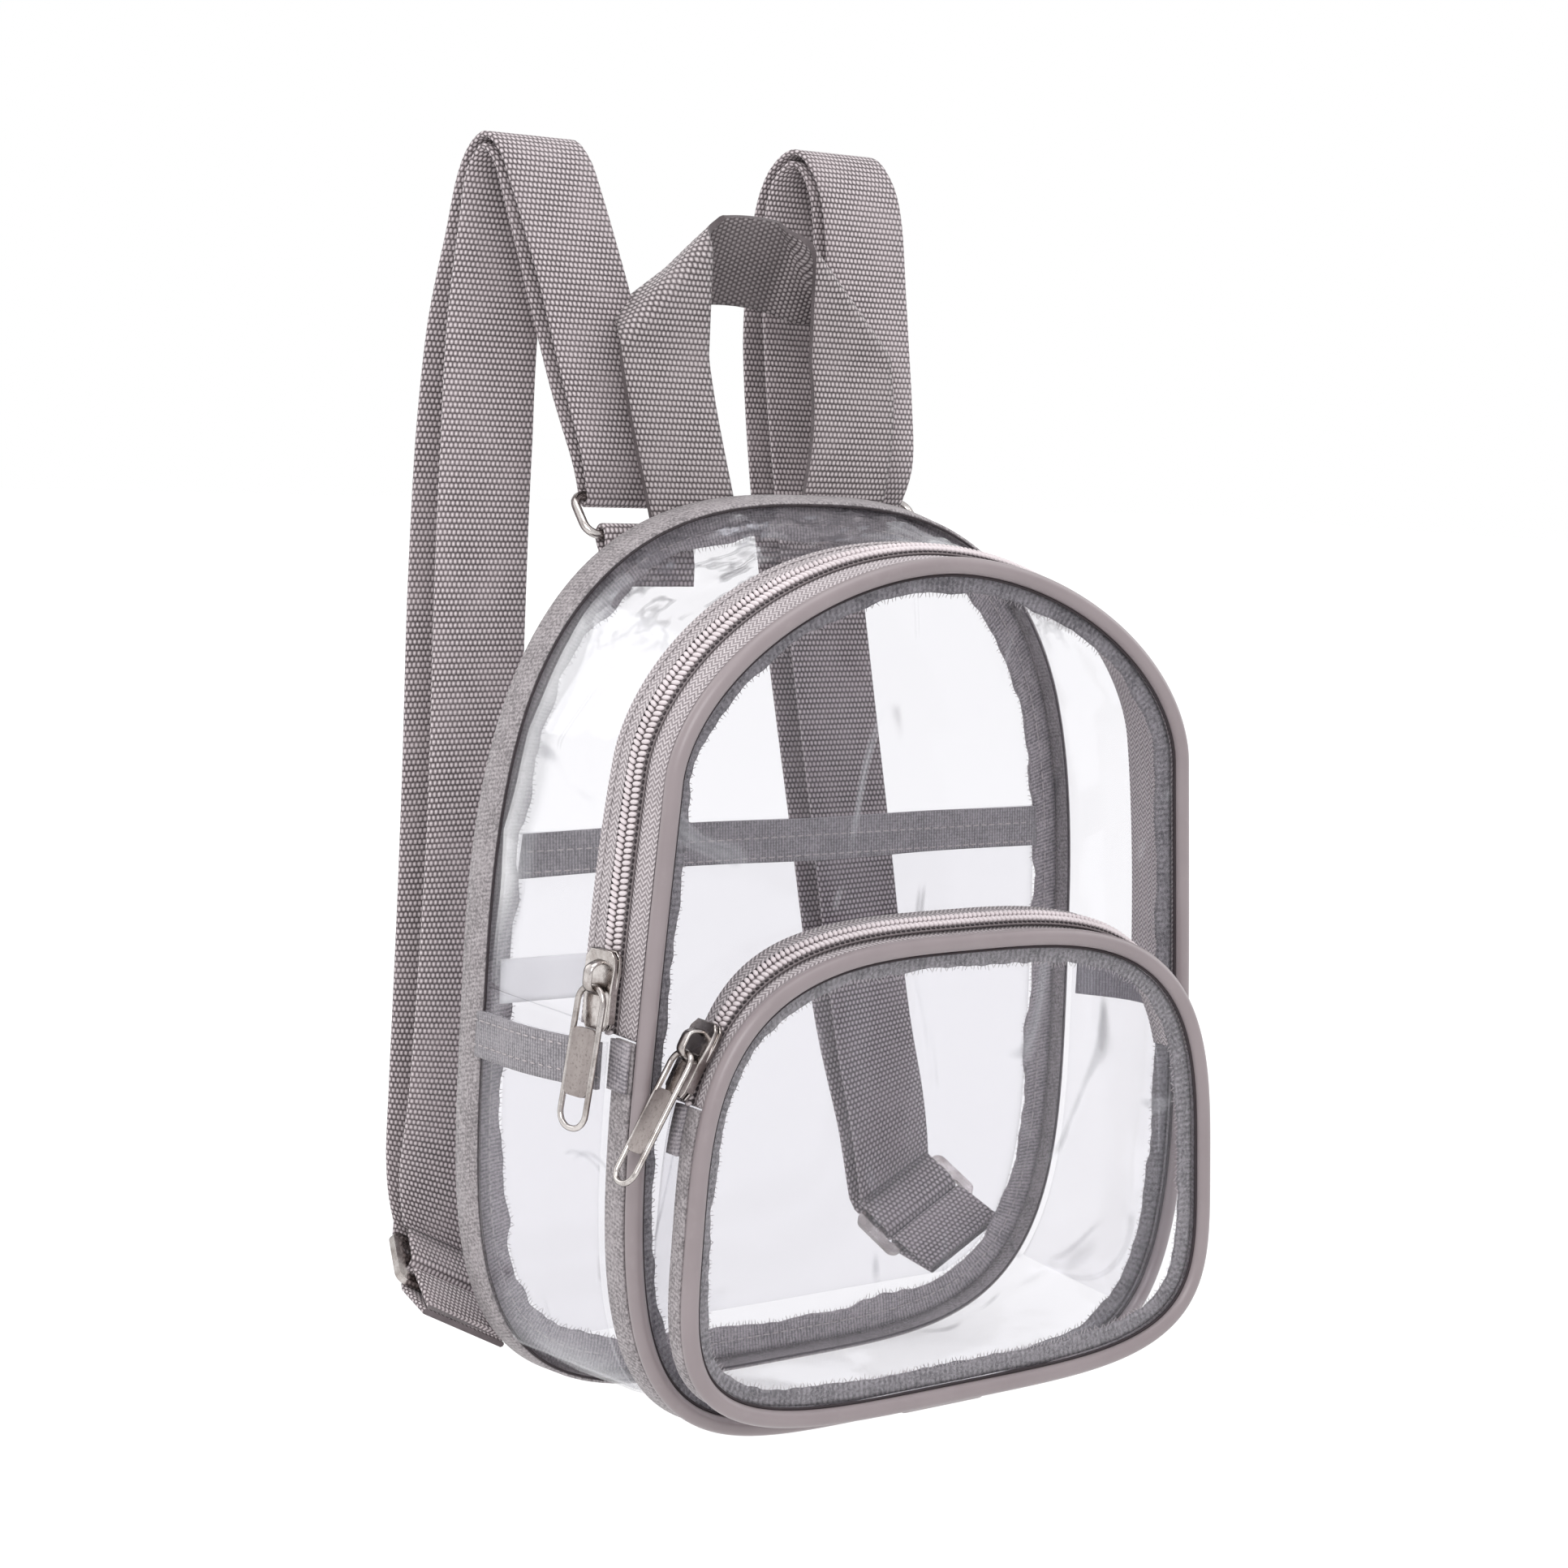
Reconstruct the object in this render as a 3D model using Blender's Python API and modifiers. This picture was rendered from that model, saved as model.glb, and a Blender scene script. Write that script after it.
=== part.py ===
# Clear backpack: film panels, gusset, front pocket, side pockets, zips, webbing straps and handle.
# Metres. +X is to the right of someone facing the front, +Y goes back, +Z is up.
# Shapes are worked out with height zero at the bottom of the back panel, and the parent
# empty then moves them so that the origin is where the two straps hang.
import math

import bmesh
import bpy
from mathutils import Matrix, Vector

# Body
BACK_WIDTH = 0.180
BACK_HEIGHT = 0.216
FRONT_WIDTH = 0.160
FRONT_HEIGHT = 0.199
FRONT_LIFT = 0.005
BODY_DEPTH = 0.060
FILM = 0.001
CLEARANCE = 0.0003

# Front pocket
POCKET_WIDTH = 0.1515
POCKET_HEIGHT = 0.1065
POCKET_LIFT = 0.012
POCKET_DEPTH_LOW = 0.0165
POCKET_DEPTH_HIGH = 0.0140

# Side pockets and the pocket inside the back
SIDE_POCKET_TOP = 0.095
SIDE_POCKET_FOOT = 0.018
SIDE_POCKET_LIFT = 0.0007
SIDE_POCKET_SEAM = 0.0018
SIDE_POCKET_SLACK = 0.6
LEFT_POCKET_BULGE = 0.0025
RIGHT_POCKET_BULGE = 0.010
INNER_POCKET_TOP = 0.1375
INNER_POCKET_FOOT = 0.014
BAND_HEIGHT = 0.0105
BAND_CLOTH = 0.0012

# Bindings and piping
PIPING_RADIUS = 0.002
TAPE_CLOTH = 0.001
EDGE_TAPE_WIDTH = 0.0065
EDGE_LIP = 0.002
BACK_FLANGE_WIDTH = 0.009
FRONT_FLANGE_WIDTH = 0.005
BASE_TAPE_WIDTH = 0.006
POCKET_TAPE_WIDTH = 0.0045

# Zips
MAIN_ZIP_WIDTH = 0.019
MAIN_ZIP_END = 0.0985
MAIN_SLIDER_HEIGHT = 0.108
POCKET_ZIP_END = 0.0860
POCKET_SLIDER_HEIGHT = 0.0945
CHAIN_WIDTH = 0.0065
POCKET_CHAIN_WIDTH = 0.0052
POCKET_CHAIN_FORWARD = 0.0066
CHAIN_RAISE = 0.0015
STOP_LENGTH = 0.011
SLIDER_LENGTH = 0.018
SLIDER_WIDTH = 0.0095
SLIDER_THICKNESS = 0.0024
BRIDGE_START = 0.0075
BRIDGE_LENGTH = 0.0085
BRIDGE_WALL = 0.0011
BRIDGE_WIDTH = 0.0028
BRIDGE_CLEAR = 0.0027
BRIDGE_SHOULDER = 0.0023
BRIDGE_CORNER = 0.0015
SLIDER_CORNER = 0.00285
PULL_LENGTH = 0.033
PULL_WIDTH = 0.0095
PULL_THICKNESS = 0.0014
PULL_RIM = 0.0014
PULL_EYE = 0.009
PULL_WINDOW = 0.008
PULL_PLAY = 0.0005
PULL_ROUNDING = 0.42
POCKET_PULL_WIDTH = 0.0084
MAIN_PULL_LEAN = math.radians(9)
POCKET_PULL_LEAN = math.radians(30)

# Webbing, handle and straps
WEBBING_WIDTH = 0.025
WEBBING = 0.0014
CARRY_OFFSET = -0.010
HANDLE_RISE = 0.065
HANDLE_OFFSET = -0.0085
HANDLE_LEG_SPACING = 0.042
HANDLE_SPLAY = 0.007
HANDLE_LEAN = 0.006
HANDLE_FOLD_RADIUS = 0.003
HANDLE_SKEW = 0.004
LEFT_STRAP_RISE = 0.0800
RIGHT_STRAP_RISE = 0.0835
STRAP_REACH = 0.040
STRAP_SPREAD = 0.013
HANG_BELOW_FOLD = 0.0024
HANG_BEHIND = 0.036
RING_OFFSET = -0.006
RING_SPACING = 0.070
RING_BEHIND = 0.0155
RING_RAISE = 0.0020
RING_HEIGHT = 0.012
RING_CORNER = 0.0034
RING_LEAN = math.radians(42)
WIRE_RADIUS = 0.0011
RING_PLAY = 0.0022
RING_TAB_DROP = 0.012
ADJUSTER_SPACING = 0.146
ADJUSTER_UP = 0.026
ADJUSTER_BEHIND = 0.019
ADJUSTER_HEIGHT = 0.015
ADJUSTER_PLATE = 0.0018
ADJUSTER_BAR = 0.0024
ADJUSTER_TILT = math.radians(28)
ADJUSTER_LEAN = math.radians(50)
ADJUSTER_TAB_DROP = 0.004
SLOT_CORNER = 0.0012

# Sewn-in tag
TAG_LENGTH = 0.024
TAG_TUCK = 0.003
TAG_HEIGHT = 0.0105
TAG_CLOTH = 0.0006
TAG_UP = 0.108

LOOP_STEPS = 64
SEAT_SHARE = 0.85
SEAT_DIP = 0.0001
FINE_STEPS = 600
TUBE_RESOLUTION = 2

# Outline shape: share of the height where the lower curve gives way to the upper one,
# how square the lower and upper curves are, and how much narrower the top is.
BACK_FORM = {"split": 0.47, "low": 3.97, "high": 2.76, "taper": 0.05}
FRONT_FORM = {"split": 0.76, "low": 4.84, "high": 1.85, "taper": 0.21}
POCKET_FORM = {"split": 0.44, "low": 4.07, "high": 3.21, "taper": 0.08}

# Strap rows from the top ring over the fold to the adjuster.
# across: share of BACK_WIDTH from the middle of the carrying gear, outward
# behind: share of STRAP_REACH
# up: share of the climb from the ring to the fold, and of the drop from the fold to the adjuster
# open: share of STRAP_SPREAD between the two layers
LEFT_CLIMB = (
    {"across": 0.190, "behind": 0.36, "up": 0.12, "open": 0.36},
    {"across": 0.210, "behind": 0.46, "up": 0.32, "open": 0.44},
    {"across": 0.236, "behind": 0.58, "up": 0.60, "open": 0.48},
    {"across": 0.262, "behind": 0.70, "up": 0.86, "open": 0.34},
    {"across": 0.272, "behind": 0.78, "up": 0.965, "open": 0.26},
    {"across": 0.280, "behind": 0.90, "up": 1.0, "open": 0.22},
)
LEFT_DROP = (
    {"across": 0.289, "behind": 1.02, "up": 0.975, "open": 0.26},
    {"across": 0.302, "behind": 1.03, "up": 0.92, "open": 0.44},
    {"across": 0.325, "behind": 0.99, "up": 0.84, "open": 0.74},
    {"across": 0.345, "behind": 0.90, "up": 0.74, "open": 0.95},
    {"across": 0.362, "behind": 0.80, "up": 0.60, "open": 1.0},
    {"across": 0.374, "behind": 0.71, "up": 0.40, "open": 1.0},
    {"across": 0.388, "behind": 0.68, "up": 0.18, "open": 0.80},
    {"across": 0.398, "behind": 0.68, "up": 0.08, "open": 0.50},
)
RIGHT_CLIMB = (
    {"across": 0.226, "behind": 0.34, "up": 0.12, "open": 0.36},
    {"across": 0.238, "behind": 0.46, "up": 0.30, "open": 0.44},
    {"across": 0.244, "behind": 0.59, "up": 0.55, "open": 0.48},
    {"across": 0.244, "behind": 0.68, "up": 0.84, "open": 0.34},
    {"across": 0.236, "behind": 0.78, "up": 0.965, "open": 0.26},
    {"across": 0.224, "behind": 0.90, "up": 1.0, "open": 0.22},
)
RIGHT_DROP = (
    {"across": 0.208, "behind": 1.02, "up": 0.975, "open": 0.26},
    {"across": 0.196, "behind": 1.03, "up": 0.92, "open": 0.44},
    {"across": 0.188, "behind": 0.97, "up": 0.83, "open": 0.70},
    {"across": 0.196, "behind": 0.86, "up": 0.70, "open": 0.80},
    {"across": 0.222, "behind": 0.76, "up": 0.55, "open": 0.80},
    {"across": 0.262, "behind": 0.68, "up": 0.38, "open": 0.76},
    {"across": 0.318, "behind": 0.68, "up": 0.20, "open": 0.66},
    {"across": 0.368, "behind": 0.69, "up": 0.09, "open": 0.46},
)


# Scene, collections and materials

for item in list(bpy.data.objects):
    bpy.data.objects.remove(item, do_unlink=True)

scene = bpy.context.scene
part_collection = bpy.data.collections.new("clear_backpack")
tool_collection = bpy.data.collections.new("cutters")
scene.collection.children.link(part_collection)
scene.collection.children.link(tool_collection)

mean_strap_rise = (LEFT_STRAP_RISE + RIGHT_STRAP_RISE) / 2
hang_point = Vector((CARRY_OFFSET, HANG_BEHIND, BACK_HEIGHT + mean_strap_rise - HANG_BELOW_FOLD))
hang_empty = bpy.data.objects.new("hang_frame", None)
hang_empty.location = -hang_point
part_collection.objects.link(hang_empty)

FINISHES = {
    "film": ((0.86, 0.87, 0.90), 0.08, 0.0),
    "binding": ((0.30, 0.28, 0.29), 0.75, 0.0),
    "piping": ((0.36, 0.32, 0.33), 0.45, 0.0),
    "tape": ((0.38, 0.35, 0.36), 0.8, 0.0),
    "coil": ((0.30, 0.27, 0.29), 0.4, 0.0),
    "webbing": ((0.36, 0.32, 0.32), 0.85, 0.0),
    "metal": ((0.62, 0.59, 0.55), 0.22, 1.0),
    "tag": ((0.80, 0.80, 0.82), 0.5, 0.0),
}


def finish_material(name, finish):
    colour, roughness, metallic = FINISHES[finish]
    material = bpy.data.materials.new(name)
    material.use_nodes = True
    shader = material.node_tree.nodes["Principled BSDF"]
    shader.inputs["Base Color"].default_value = (*colour, 1)
    shader.inputs["Roughness"].default_value = roughness
    shader.inputs["Metallic"].default_value = metallic
    return material


def add_object(name, data, finish):
    item = bpy.data.objects.new(name, data)
    data.materials.append(finish_material(name, finish))
    part_collection.objects.link(item)
    item.parent = hang_empty
    return item


def mesh_from_bmesh(name, bm):
    bmesh.ops.recalc_face_normals(bm, faces=bm.faces)
    mesh = bpy.data.meshes.new(name)
    bm.to_mesh(mesh)
    bm.free()
    return mesh


# Outlines of the three flat panels, from the bottom middle round by the right


def half_outline(width, height, form):
    points = []
    foot = form["split"] * height
    for step in range(FINE_STEPS):
        angle = step / FINE_STEPS * math.pi / 2
        x = width / 2 * math.sin(angle) ** (2 / form["low"])
        z = foot * (1 - math.cos(angle) ** (2 / form["low"]))
        points.append((x, z))
    for step in range(FINE_STEPS + 1):
        angle = step / FINE_STEPS * math.pi / 2
        x = width / 2 * max(math.cos(angle), 0) ** (2 / form["high"])
        z = foot + (height - foot) * math.sin(angle) ** (2 / form["high"])
        points.append((x, z))
    return [(x * (1 - form["taper"] * (z / height - 0.5)), z) for x, z in points]


class Outline:
    """A closed panel outline read by the share of the way round it."""

    def __init__(self, width, height, lift, form):
        half = half_outline(width, height, form)
        self.lift = lift
        self.points = half
        self.run = [0]
        for first, second in zip(half, half[1:]):
            self.run.append(self.run[-1] + math.dist(first, second))

    def at(self, share):
        share = share % 1
        side = 1 if share <= 0.5 else -1
        way = (share if share <= 0.5 else 1 - share) * 2 * self.run[-1]
        low, high = 0, len(self.run) - 1
        while high - low > 1:
            middle = (low + high) // 2
            if self.run[middle] <= way:
                low = middle
            else:
                high = middle
        step = (way - self.run[low]) / max(self.run[high] - self.run[low], 1e-12)
        x = self.points[low][0] + (self.points[high][0] - self.points[low][0]) * step
        z = self.points[low][1] + (self.points[high][1] - self.points[low][1]) * step
        return Vector((side * x, z + self.lift))

    def share_at_height(self, height):
        low, high = 0.02, 0.49
        while high - low > 1e-6:
            middle = (low + high) / 2
            if self.at(middle)[1] < height:
                low = middle
            else:
                high = middle
        return low


back_outline = Outline(BACK_WIDTH, BACK_HEIGHT, 0, BACK_FORM)
front_outline = Outline(FRONT_WIDTH, FRONT_HEIGHT, FRONT_LIFT, FRONT_FORM)
pocket_outline = Outline(POCKET_WIDTH, POCKET_HEIGHT, POCKET_LIFT, POCKET_FORM)


def blended(share, blend):
    return back_outline.at(share).lerp(front_outline.at(share), min(max(blend, 0), 1))


def outward(reader, share):
    nudge = 0.0015
    along = reader(share + nudge) - reader(share - nudge)
    along.normalize()
    return Vector((along[1], -along[0]))


def wall_point(share, forward, out):
    """A point on the gusset: forward from the back panel and out from the film's face."""
    blend = forward / BODY_DEPTH

    def reader(place):
        return blended(place, blend)

    flat = reader(share) + outward(reader, share) * out
    return Vector((flat[0], -forward, flat[1]))


def pocket_depth(height):
    rise = min(max((height - POCKET_LIFT) / POCKET_HEIGHT, 0), 1)
    return POCKET_DEPTH_LOW + (POCKET_DEPTH_HIGH - POCKET_DEPTH_LOW) * rise


def pocket_point(share, from_base, from_rim, out):
    """A point on the pocket's wall, measured from the front panel or from the pocket's rim."""
    flat = pocket_outline.at(share) + outward(pocket_outline.at, share) * out
    forward = from_base if from_rim is None else pocket_depth(flat[1]) - from_rim
    return Vector((flat[0], -BODY_DEPTH - forward, flat[1]))


def shares_between(start, end):
    steps = max(2, round(abs(end - start) * LOOP_STEPS))
    return [start + (end - start) * step / steps for step in range(steps + 1)]


def section_strip(name, finish, sections, closed):
    """A closed body through sections with the same number of corners."""
    bm = bmesh.new()
    rings = [[bm.verts.new(point) for point in section] for section in sections]
    corners = len(rings[0])
    count = len(rings) if closed else len(rings) - 1
    for index in range(count):
        here, after = rings[index], rings[(index + 1) % len(rings)]
        for corner in range(corners):
            turn = (corner + 1) % corners
            bm.faces.new((here[corner], here[turn], after[turn], after[corner]))
    if not closed:
        bm.faces.new(rings[0])
        bm.faces.new(rings[-1])
    return add_object(name, mesh_from_bmesh(name, bm), finish)


def wall_band(name, finish, corners, start=None, end=None):
    """A band round the gusset with corners (forward, out); the whole loop without start and end."""
    if start is None:
        shares = [step / LOOP_STEPS for step in range(LOOP_STEPS)]
    else:
        shares = shares_between(start, end)
    sections = [[wall_point(share, forward, out) for forward, out in corners] for share in shares]
    return section_strip(name, finish, sections, start is None)


def pocket_band(name, finish, corners, start=None, end=None):
    """A band round the pocket's wall with corners (from_base, from_rim, out)."""
    if start is None:
        shares = [step / LOOP_STEPS for step in range(LOOP_STEPS)]
    else:
        shares = shares_between(start, end)
    sections = [[pocket_point(share, *corner) for corner in corners] for share in shares]
    return section_strip(name, finish, sections, start is None)


def flat_panel(name, outline, inset, thickness, middle, tilt=0.0):
    """A flat sheet of film inside an outline, upright at middle, tilted about its foot."""
    curve = bpy.data.curves.new(name, "CURVE")
    curve.dimensions = "2D"
    curve.fill_mode = "BOTH"
    curve.extrude = thickness / 2
    spline = curve.splines.new("POLY")
    spline.points.add(LOOP_STEPS - 1)
    for step in range(LOOP_STEPS):
        share = step / LOOP_STEPS
        flat = outline.at(share) - outward(outline.at, share) * inset
        spline.points[step].co = (flat[0], (flat[1] - outline.lift) / math.cos(tilt), 0, 1)
    spline.use_cyclic_u = True
    item = add_object(name, curve, "film")
    item.rotation_euler = (math.pi / 2 + tilt, 0, 0)
    item.location = (0, middle, outline.lift)
    return item


def seated_panel(name, outline, inset, thickness):
    """A sheet of film at the back: its middle is flat to lie on, and it dips a little under the binding."""
    bm = bmesh.new()
    rims = [[], [], []]
    middle_height = BACK_HEIGHT / 2
    for step in range(LOOP_STEPS):
        share = step / LOOP_STEPS
        x, z = outline.at(share) - outward(outline.at, share) * inset
        rims[0].append(bm.verts.new((x, -thickness, z)))
        rims[1].append(bm.verts.new((x, -SEAT_DIP, z)))
        rims[2].append(bm.verts.new((x * SEAT_SHARE, 0, middle_height + (z - middle_height) * SEAT_SHARE)))
    bm.faces.new(rims[0])
    bm.faces.new(rims[2])
    for low, high in ((rims[0], rims[1]), (rims[1], rims[2])):
        for step in range(LOOP_STEPS):
            after = (step + 1) % LOOP_STEPS
            bm.faces.new((low[step], high[step], high[after], low[after]))
    return add_object(name, mesh_from_bmesh(name, bm), "film")


def tube(name, finish, points, radius, closed=False):
    curve = bpy.data.curves.new(name, "CURVE")
    curve.dimensions = "3D"
    curve.bevel_depth = radius
    curve.bevel_resolution = TUBE_RESOLUTION
    curve.use_fill_caps = True
    spline = curve.splines.new("POLY")
    spline.points.add(len(points) - 1)
    for target, point in zip(spline.points, points):
        target.co = (*point, 1)
    spline.use_cyclic_u = closed
    return add_object(name, curve, finish)


# Back panel, gusset and front panel

seam_out = FILM + CLEARANCE
main_zip_share = front_outline.share_at_height(MAIN_ZIP_END)
gusset_front = BODY_DEPTH - PIPING_RADIUS - CLEARANCE
zip_back = gusset_front - MAIN_ZIP_WIDTH
joint_share = CLEARANCE / (2 * front_outline.run[-1])

seated_panel("back_panel", back_outline, 2 * CLEARANCE, FILM)
front_inset = PIPING_RADIUS + CLEARANCE
flat_panel("front_panel", front_outline, front_inset, FILM, -BODY_DEPTH + FILM / 2)

wall_band(
    "gusset_top", "film",
    ((seam_out, 0), (zip_back - CLEARANCE, 0), (zip_back - CLEARANCE, -FILM), (seam_out, -FILM)),
    main_zip_share, 1 - main_zip_share,
)
wall_band(
    "gusset_base", "film",
    ((seam_out, 0), (gusset_front, 0), (gusset_front, -FILM), (seam_out, -FILM)),
    joint_share - main_zip_share, main_zip_share - joint_share,
)

# Tape round the back seam, with a lip behind the panel, and the sewn flange inside it
edge_out = CLEARANCE + TAPE_CLOTH
wall_band(
    "back_edge", "binding",
    (
        (-edge_out, edge_out), (EDGE_TAPE_WIDTH, edge_out), (EDGE_TAPE_WIDTH, CLEARANCE),
        (-CLEARANCE, CLEARANCE), (-CLEARANCE, -EDGE_LIP), (-edge_out, -EDGE_LIP),
    ),
)
flange_out = -FILM - CLEARANCE
wall_band(
    "back_binding", "binding",
    (
        (seam_out, flange_out), (seam_out + TAPE_CLOTH, flange_out),
        (seam_out + TAPE_CLOTH, -BACK_FLANGE_WIDTH), (seam_out, -BACK_FLANGE_WIDTH),
    ),
)

# Piping round the front seam, its flange inside, and the tape below the zip
loop_shares = [step / LOOP_STEPS for step in range(LOOP_STEPS)]
tube(
    "front_piping", "piping",
    [wall_point(share, BODY_DEPTH, 0) for share in loop_shares], PIPING_RADIUS, closed=True,
)
front_flange_face = BODY_DEPTH - FILM - CLEARANCE
wall_band(
    "front_binding", "binding",
    (
        (front_flange_face, -front_inset), (front_flange_face - TAPE_CLOTH, -front_inset),
        (front_flange_face - TAPE_CLOTH, -front_inset - FRONT_FLANGE_WIDTH),
        (front_flange_face, -front_inset - FRONT_FLANGE_WIDTH),
    ),
)
base_tape_end = main_zip_share - joint_share
wall_band(
    "base_tape", "tape",
    (
        (gusset_front, edge_out), (gusset_front - BASE_TAPE_WIDTH, edge_out),
        (gusset_front - BASE_TAPE_WIDTH, CLEARANCE), (gusset_front, CLEARANCE),
    ),
    -base_tape_end, base_tape_end,
)

# Main zip: tape, coil and the stops at its two ends
wall_band(
    "main_zip_tape", "tape",
    ((zip_back, 0), (gusset_front, 0), (gusset_front, -TAPE_CLOTH), (zip_back, -TAPE_CLOTH)),
    main_zip_share, 1 - main_zip_share,
)
chain_middle = (zip_back + gusset_front) / 2
chain_back = chain_middle - CHAIN_WIDTH / 2
chain_front = chain_middle + CHAIN_WIDTH / 2
chain_top = CLEARANCE + CHAIN_RAISE
wall_band(
    "main_zip_coil", "coil",
    ((chain_back, CLEARANCE), (chain_back, chain_top), (chain_front, chain_top), (chain_front, CLEARANCE)),
    main_zip_share + joint_share, 1 - main_zip_share - joint_share,
)
stop_share = STOP_LENGTH / (2 * front_outline.run[-1])
stop_face = edge_out + CLEARANCE
for side, name in ((1, "main_zip_stop_right"), (-1, "main_zip_stop_left")):
    wall_band(
        name, "tape",
        (
            (gusset_front, stop_face), (gusset_front, stop_face + TAPE_CLOTH),
            (gusset_front - BASE_TAPE_WIDTH, stop_face + TAPE_CLOTH),
            (gusset_front - BASE_TAPE_WIDTH, stop_face),
        ),
        side * (main_zip_share - joint_share), side * (main_zip_share - joint_share - stop_share),
    )

# Front pocket: front film, walls, piping, zip and tape
pocket_tilt = -math.atan((POCKET_DEPTH_LOW - POCKET_DEPTH_HIGH) / POCKET_HEIGHT)
flat_panel(
    "pocket_front", pocket_outline, front_inset, FILM,
    -BODY_DEPTH - POCKET_DEPTH_LOW + FILM / 2, pocket_tilt,
)
tube(
    "pocket_piping", "piping",
    [pocket_point(share, 0, 0, 0) for share in loop_shares], PIPING_RADIUS, closed=True,
)
pocket_zip_share = pocket_outline.share_at_height(POCKET_ZIP_END)
pocket_joint = CLEARANCE / (2 * pocket_outline.run[-1])
rim = PIPING_RADIUS + CLEARANCE
pocket_band(
    "pocket_gusset", "film",
    ((CLEARANCE, None, 0), (0, rim, 0), (0, rim, -FILM), (CLEARANCE, None, -FILM)),
    pocket_joint - pocket_zip_share, pocket_zip_share - pocket_joint,
)
pocket_band(
    "pocket_tape", "tape",
    (
        (0, rim, edge_out), (0, rim + POCKET_TAPE_WIDTH, edge_out),
        (0, rim + POCKET_TAPE_WIDTH, CLEARANCE), (0, rim, CLEARANCE),
    ),
    pocket_joint - pocket_zip_share, pocket_zip_share - pocket_joint,
)
pocket_band(
    "pocket_zip_tape", "tape",
    ((CLEARANCE, None, 0), (0, rim, 0), (0, rim, -TAPE_CLOTH), (CLEARANCE, None, -TAPE_CLOTH)),
    pocket_zip_share, 1 - pocket_zip_share,
)
pocket_chain_back = POCKET_CHAIN_FORWARD - POCKET_CHAIN_WIDTH / 2
pocket_chain_front = POCKET_CHAIN_FORWARD + POCKET_CHAIN_WIDTH / 2
pocket_band(
    "pocket_zip_coil", "coil",
    (
        (pocket_chain_back, None, CLEARANCE), (pocket_chain_back, None, chain_top),
        (pocket_chain_front, None, chain_top), (pocket_chain_front, None, CLEARANCE),
    ),
    pocket_zip_share + pocket_joint, 1 - pocket_zip_share - pocket_joint,
)
pocket_stop_share = STOP_LENGTH / (2 * pocket_outline.run[-1])
for side, name in ((1, "pocket_zip_stop_right"), (-1, "pocket_zip_stop_left")):
    pocket_band(
        name, "tape",
        (
            (pocket_chain_back, None, CLEARANCE), (pocket_chain_back, None, chain_top),
            (0, rim + POCKET_TAPE_WIDTH + CLEARANCE, chain_top),
            (0, rim + POCKET_TAPE_WIDTH + CLEARANCE, CLEARANCE),
        ),
        side * (pocket_zip_share - pocket_joint),
        side * (pocket_zip_share - pocket_joint - pocket_stop_share),
    )


def lay_sheet(name, finish, rows, thickness, toward=1.0):
    """A sheet over a grid of points, given a thickness to one side."""
    bm = bmesh.new()
    grid = [[bm.verts.new(point) for point in row] for row in rows]
    for upper, lower in zip(grid, grid[1:]):
        for index in range(len(upper) - 1):
            bm.faces.new((upper[index], upper[index + 1], lower[index + 1], lower[index]))
    mesh = bpy.data.meshes.new(name)
    bm.to_mesh(mesh)
    bm.free()
    item = add_object(name, mesh, finish)
    wall = item.modifiers.new("wall", "SOLIDIFY")
    wall.thickness = thickness
    wall.offset = toward
    wall.use_even_offset = True
    return item


# Side pockets: a slack film pocket low on each side of the gusset, with a folded band on top

pocket_columns = 8
pocket_rows = 9
side_back = EDGE_TAPE_WIDTH + SIDE_POCKET_SEAM
side_front = gusset_front - BASE_TAPE_WIDTH - SIDE_POCKET_SEAM


def level_share(height, forward):
    """The share of the loop where the gusset reaches a height, at a place between the seams."""
    low, high = 0.02, 0.49
    while high - low > 1e-6:
        middle = (low + high) / 2
        if blended(middle, forward / BODY_DEPTH)[1] < height:
            low = middle
        else:
            high = middle
    return low


def side_grid(side, bulge_most, low_height, high_height, rows, extra):
    grid = []
    for row in range(rows + 1):
        height = low_height + (high_height - low_height) * row / rows
        fill = ((height - SIDE_POCKET_FOOT) / (SIDE_POCKET_TOP - SIDE_POCKET_FOOT)) ** SIDE_POCKET_SLACK
        line = []
        for column in range(pocket_columns + 1):
            way = column / pocket_columns
            forward = side_back + (side_front - side_back) * way
            bulge = bulge_most * math.sin(math.pi * way) * fill
            share = level_share(height, forward) * side
            line.append(wall_point(share, forward, CLEARANCE + SIDE_POCKET_LIFT + bulge + extra))
        grid.append(line)
    return grid


for side, word, bulge in ((1, "right", RIGHT_POCKET_BULGE), (-1, "left", LEFT_POCKET_BULGE)):
    lay_sheet(
        "side_pocket_" + word, "film",
        side_grid(side, bulge, SIDE_POCKET_FOOT, SIDE_POCKET_TOP, pocket_rows, 0), FILM, -side,
    )
    band_foot = SIDE_POCKET_TOP - BAND_HEIGHT
    lay_sheet(
        "side_band_" + word, "binding",
        side_grid(side, bulge, band_foot, SIDE_POCKET_TOP, 2, FILM + 2 * CLEARANCE), BAND_CLOTH, -side,
    )

# Flat pocket inside the back panel, behind a folded band

inner_face = -seam_out
inner_heights = [
    INNER_POCKET_FOOT + (INNER_POCKET_TOP - INNER_POCKET_FOOT) * step / 10 for step in range(11)
]


def inner_half_width(height):
    """Reach of the inner pocket at a height, just inside the sewn flange."""
    inset = BACK_FLANGE_WIDTH + 2 * CLEARANCE
    low, high = 0.05, 0.45
    while high - low > 1e-6:
        middle = (low + high) / 2
        place = back_outline.at(middle) - outward(back_outline.at, middle) * inset
        if place[1] < height:
            low = middle
        else:
            high = middle
    return place[0]


def inner_rows(heights, face):
    rows = []
    for height in heights:
        reach = inner_half_width(height)
        rows.append([Vector((reach * side, face, height)) for side in (-1, -0.33, 0.33, 1)])
    return rows


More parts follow.
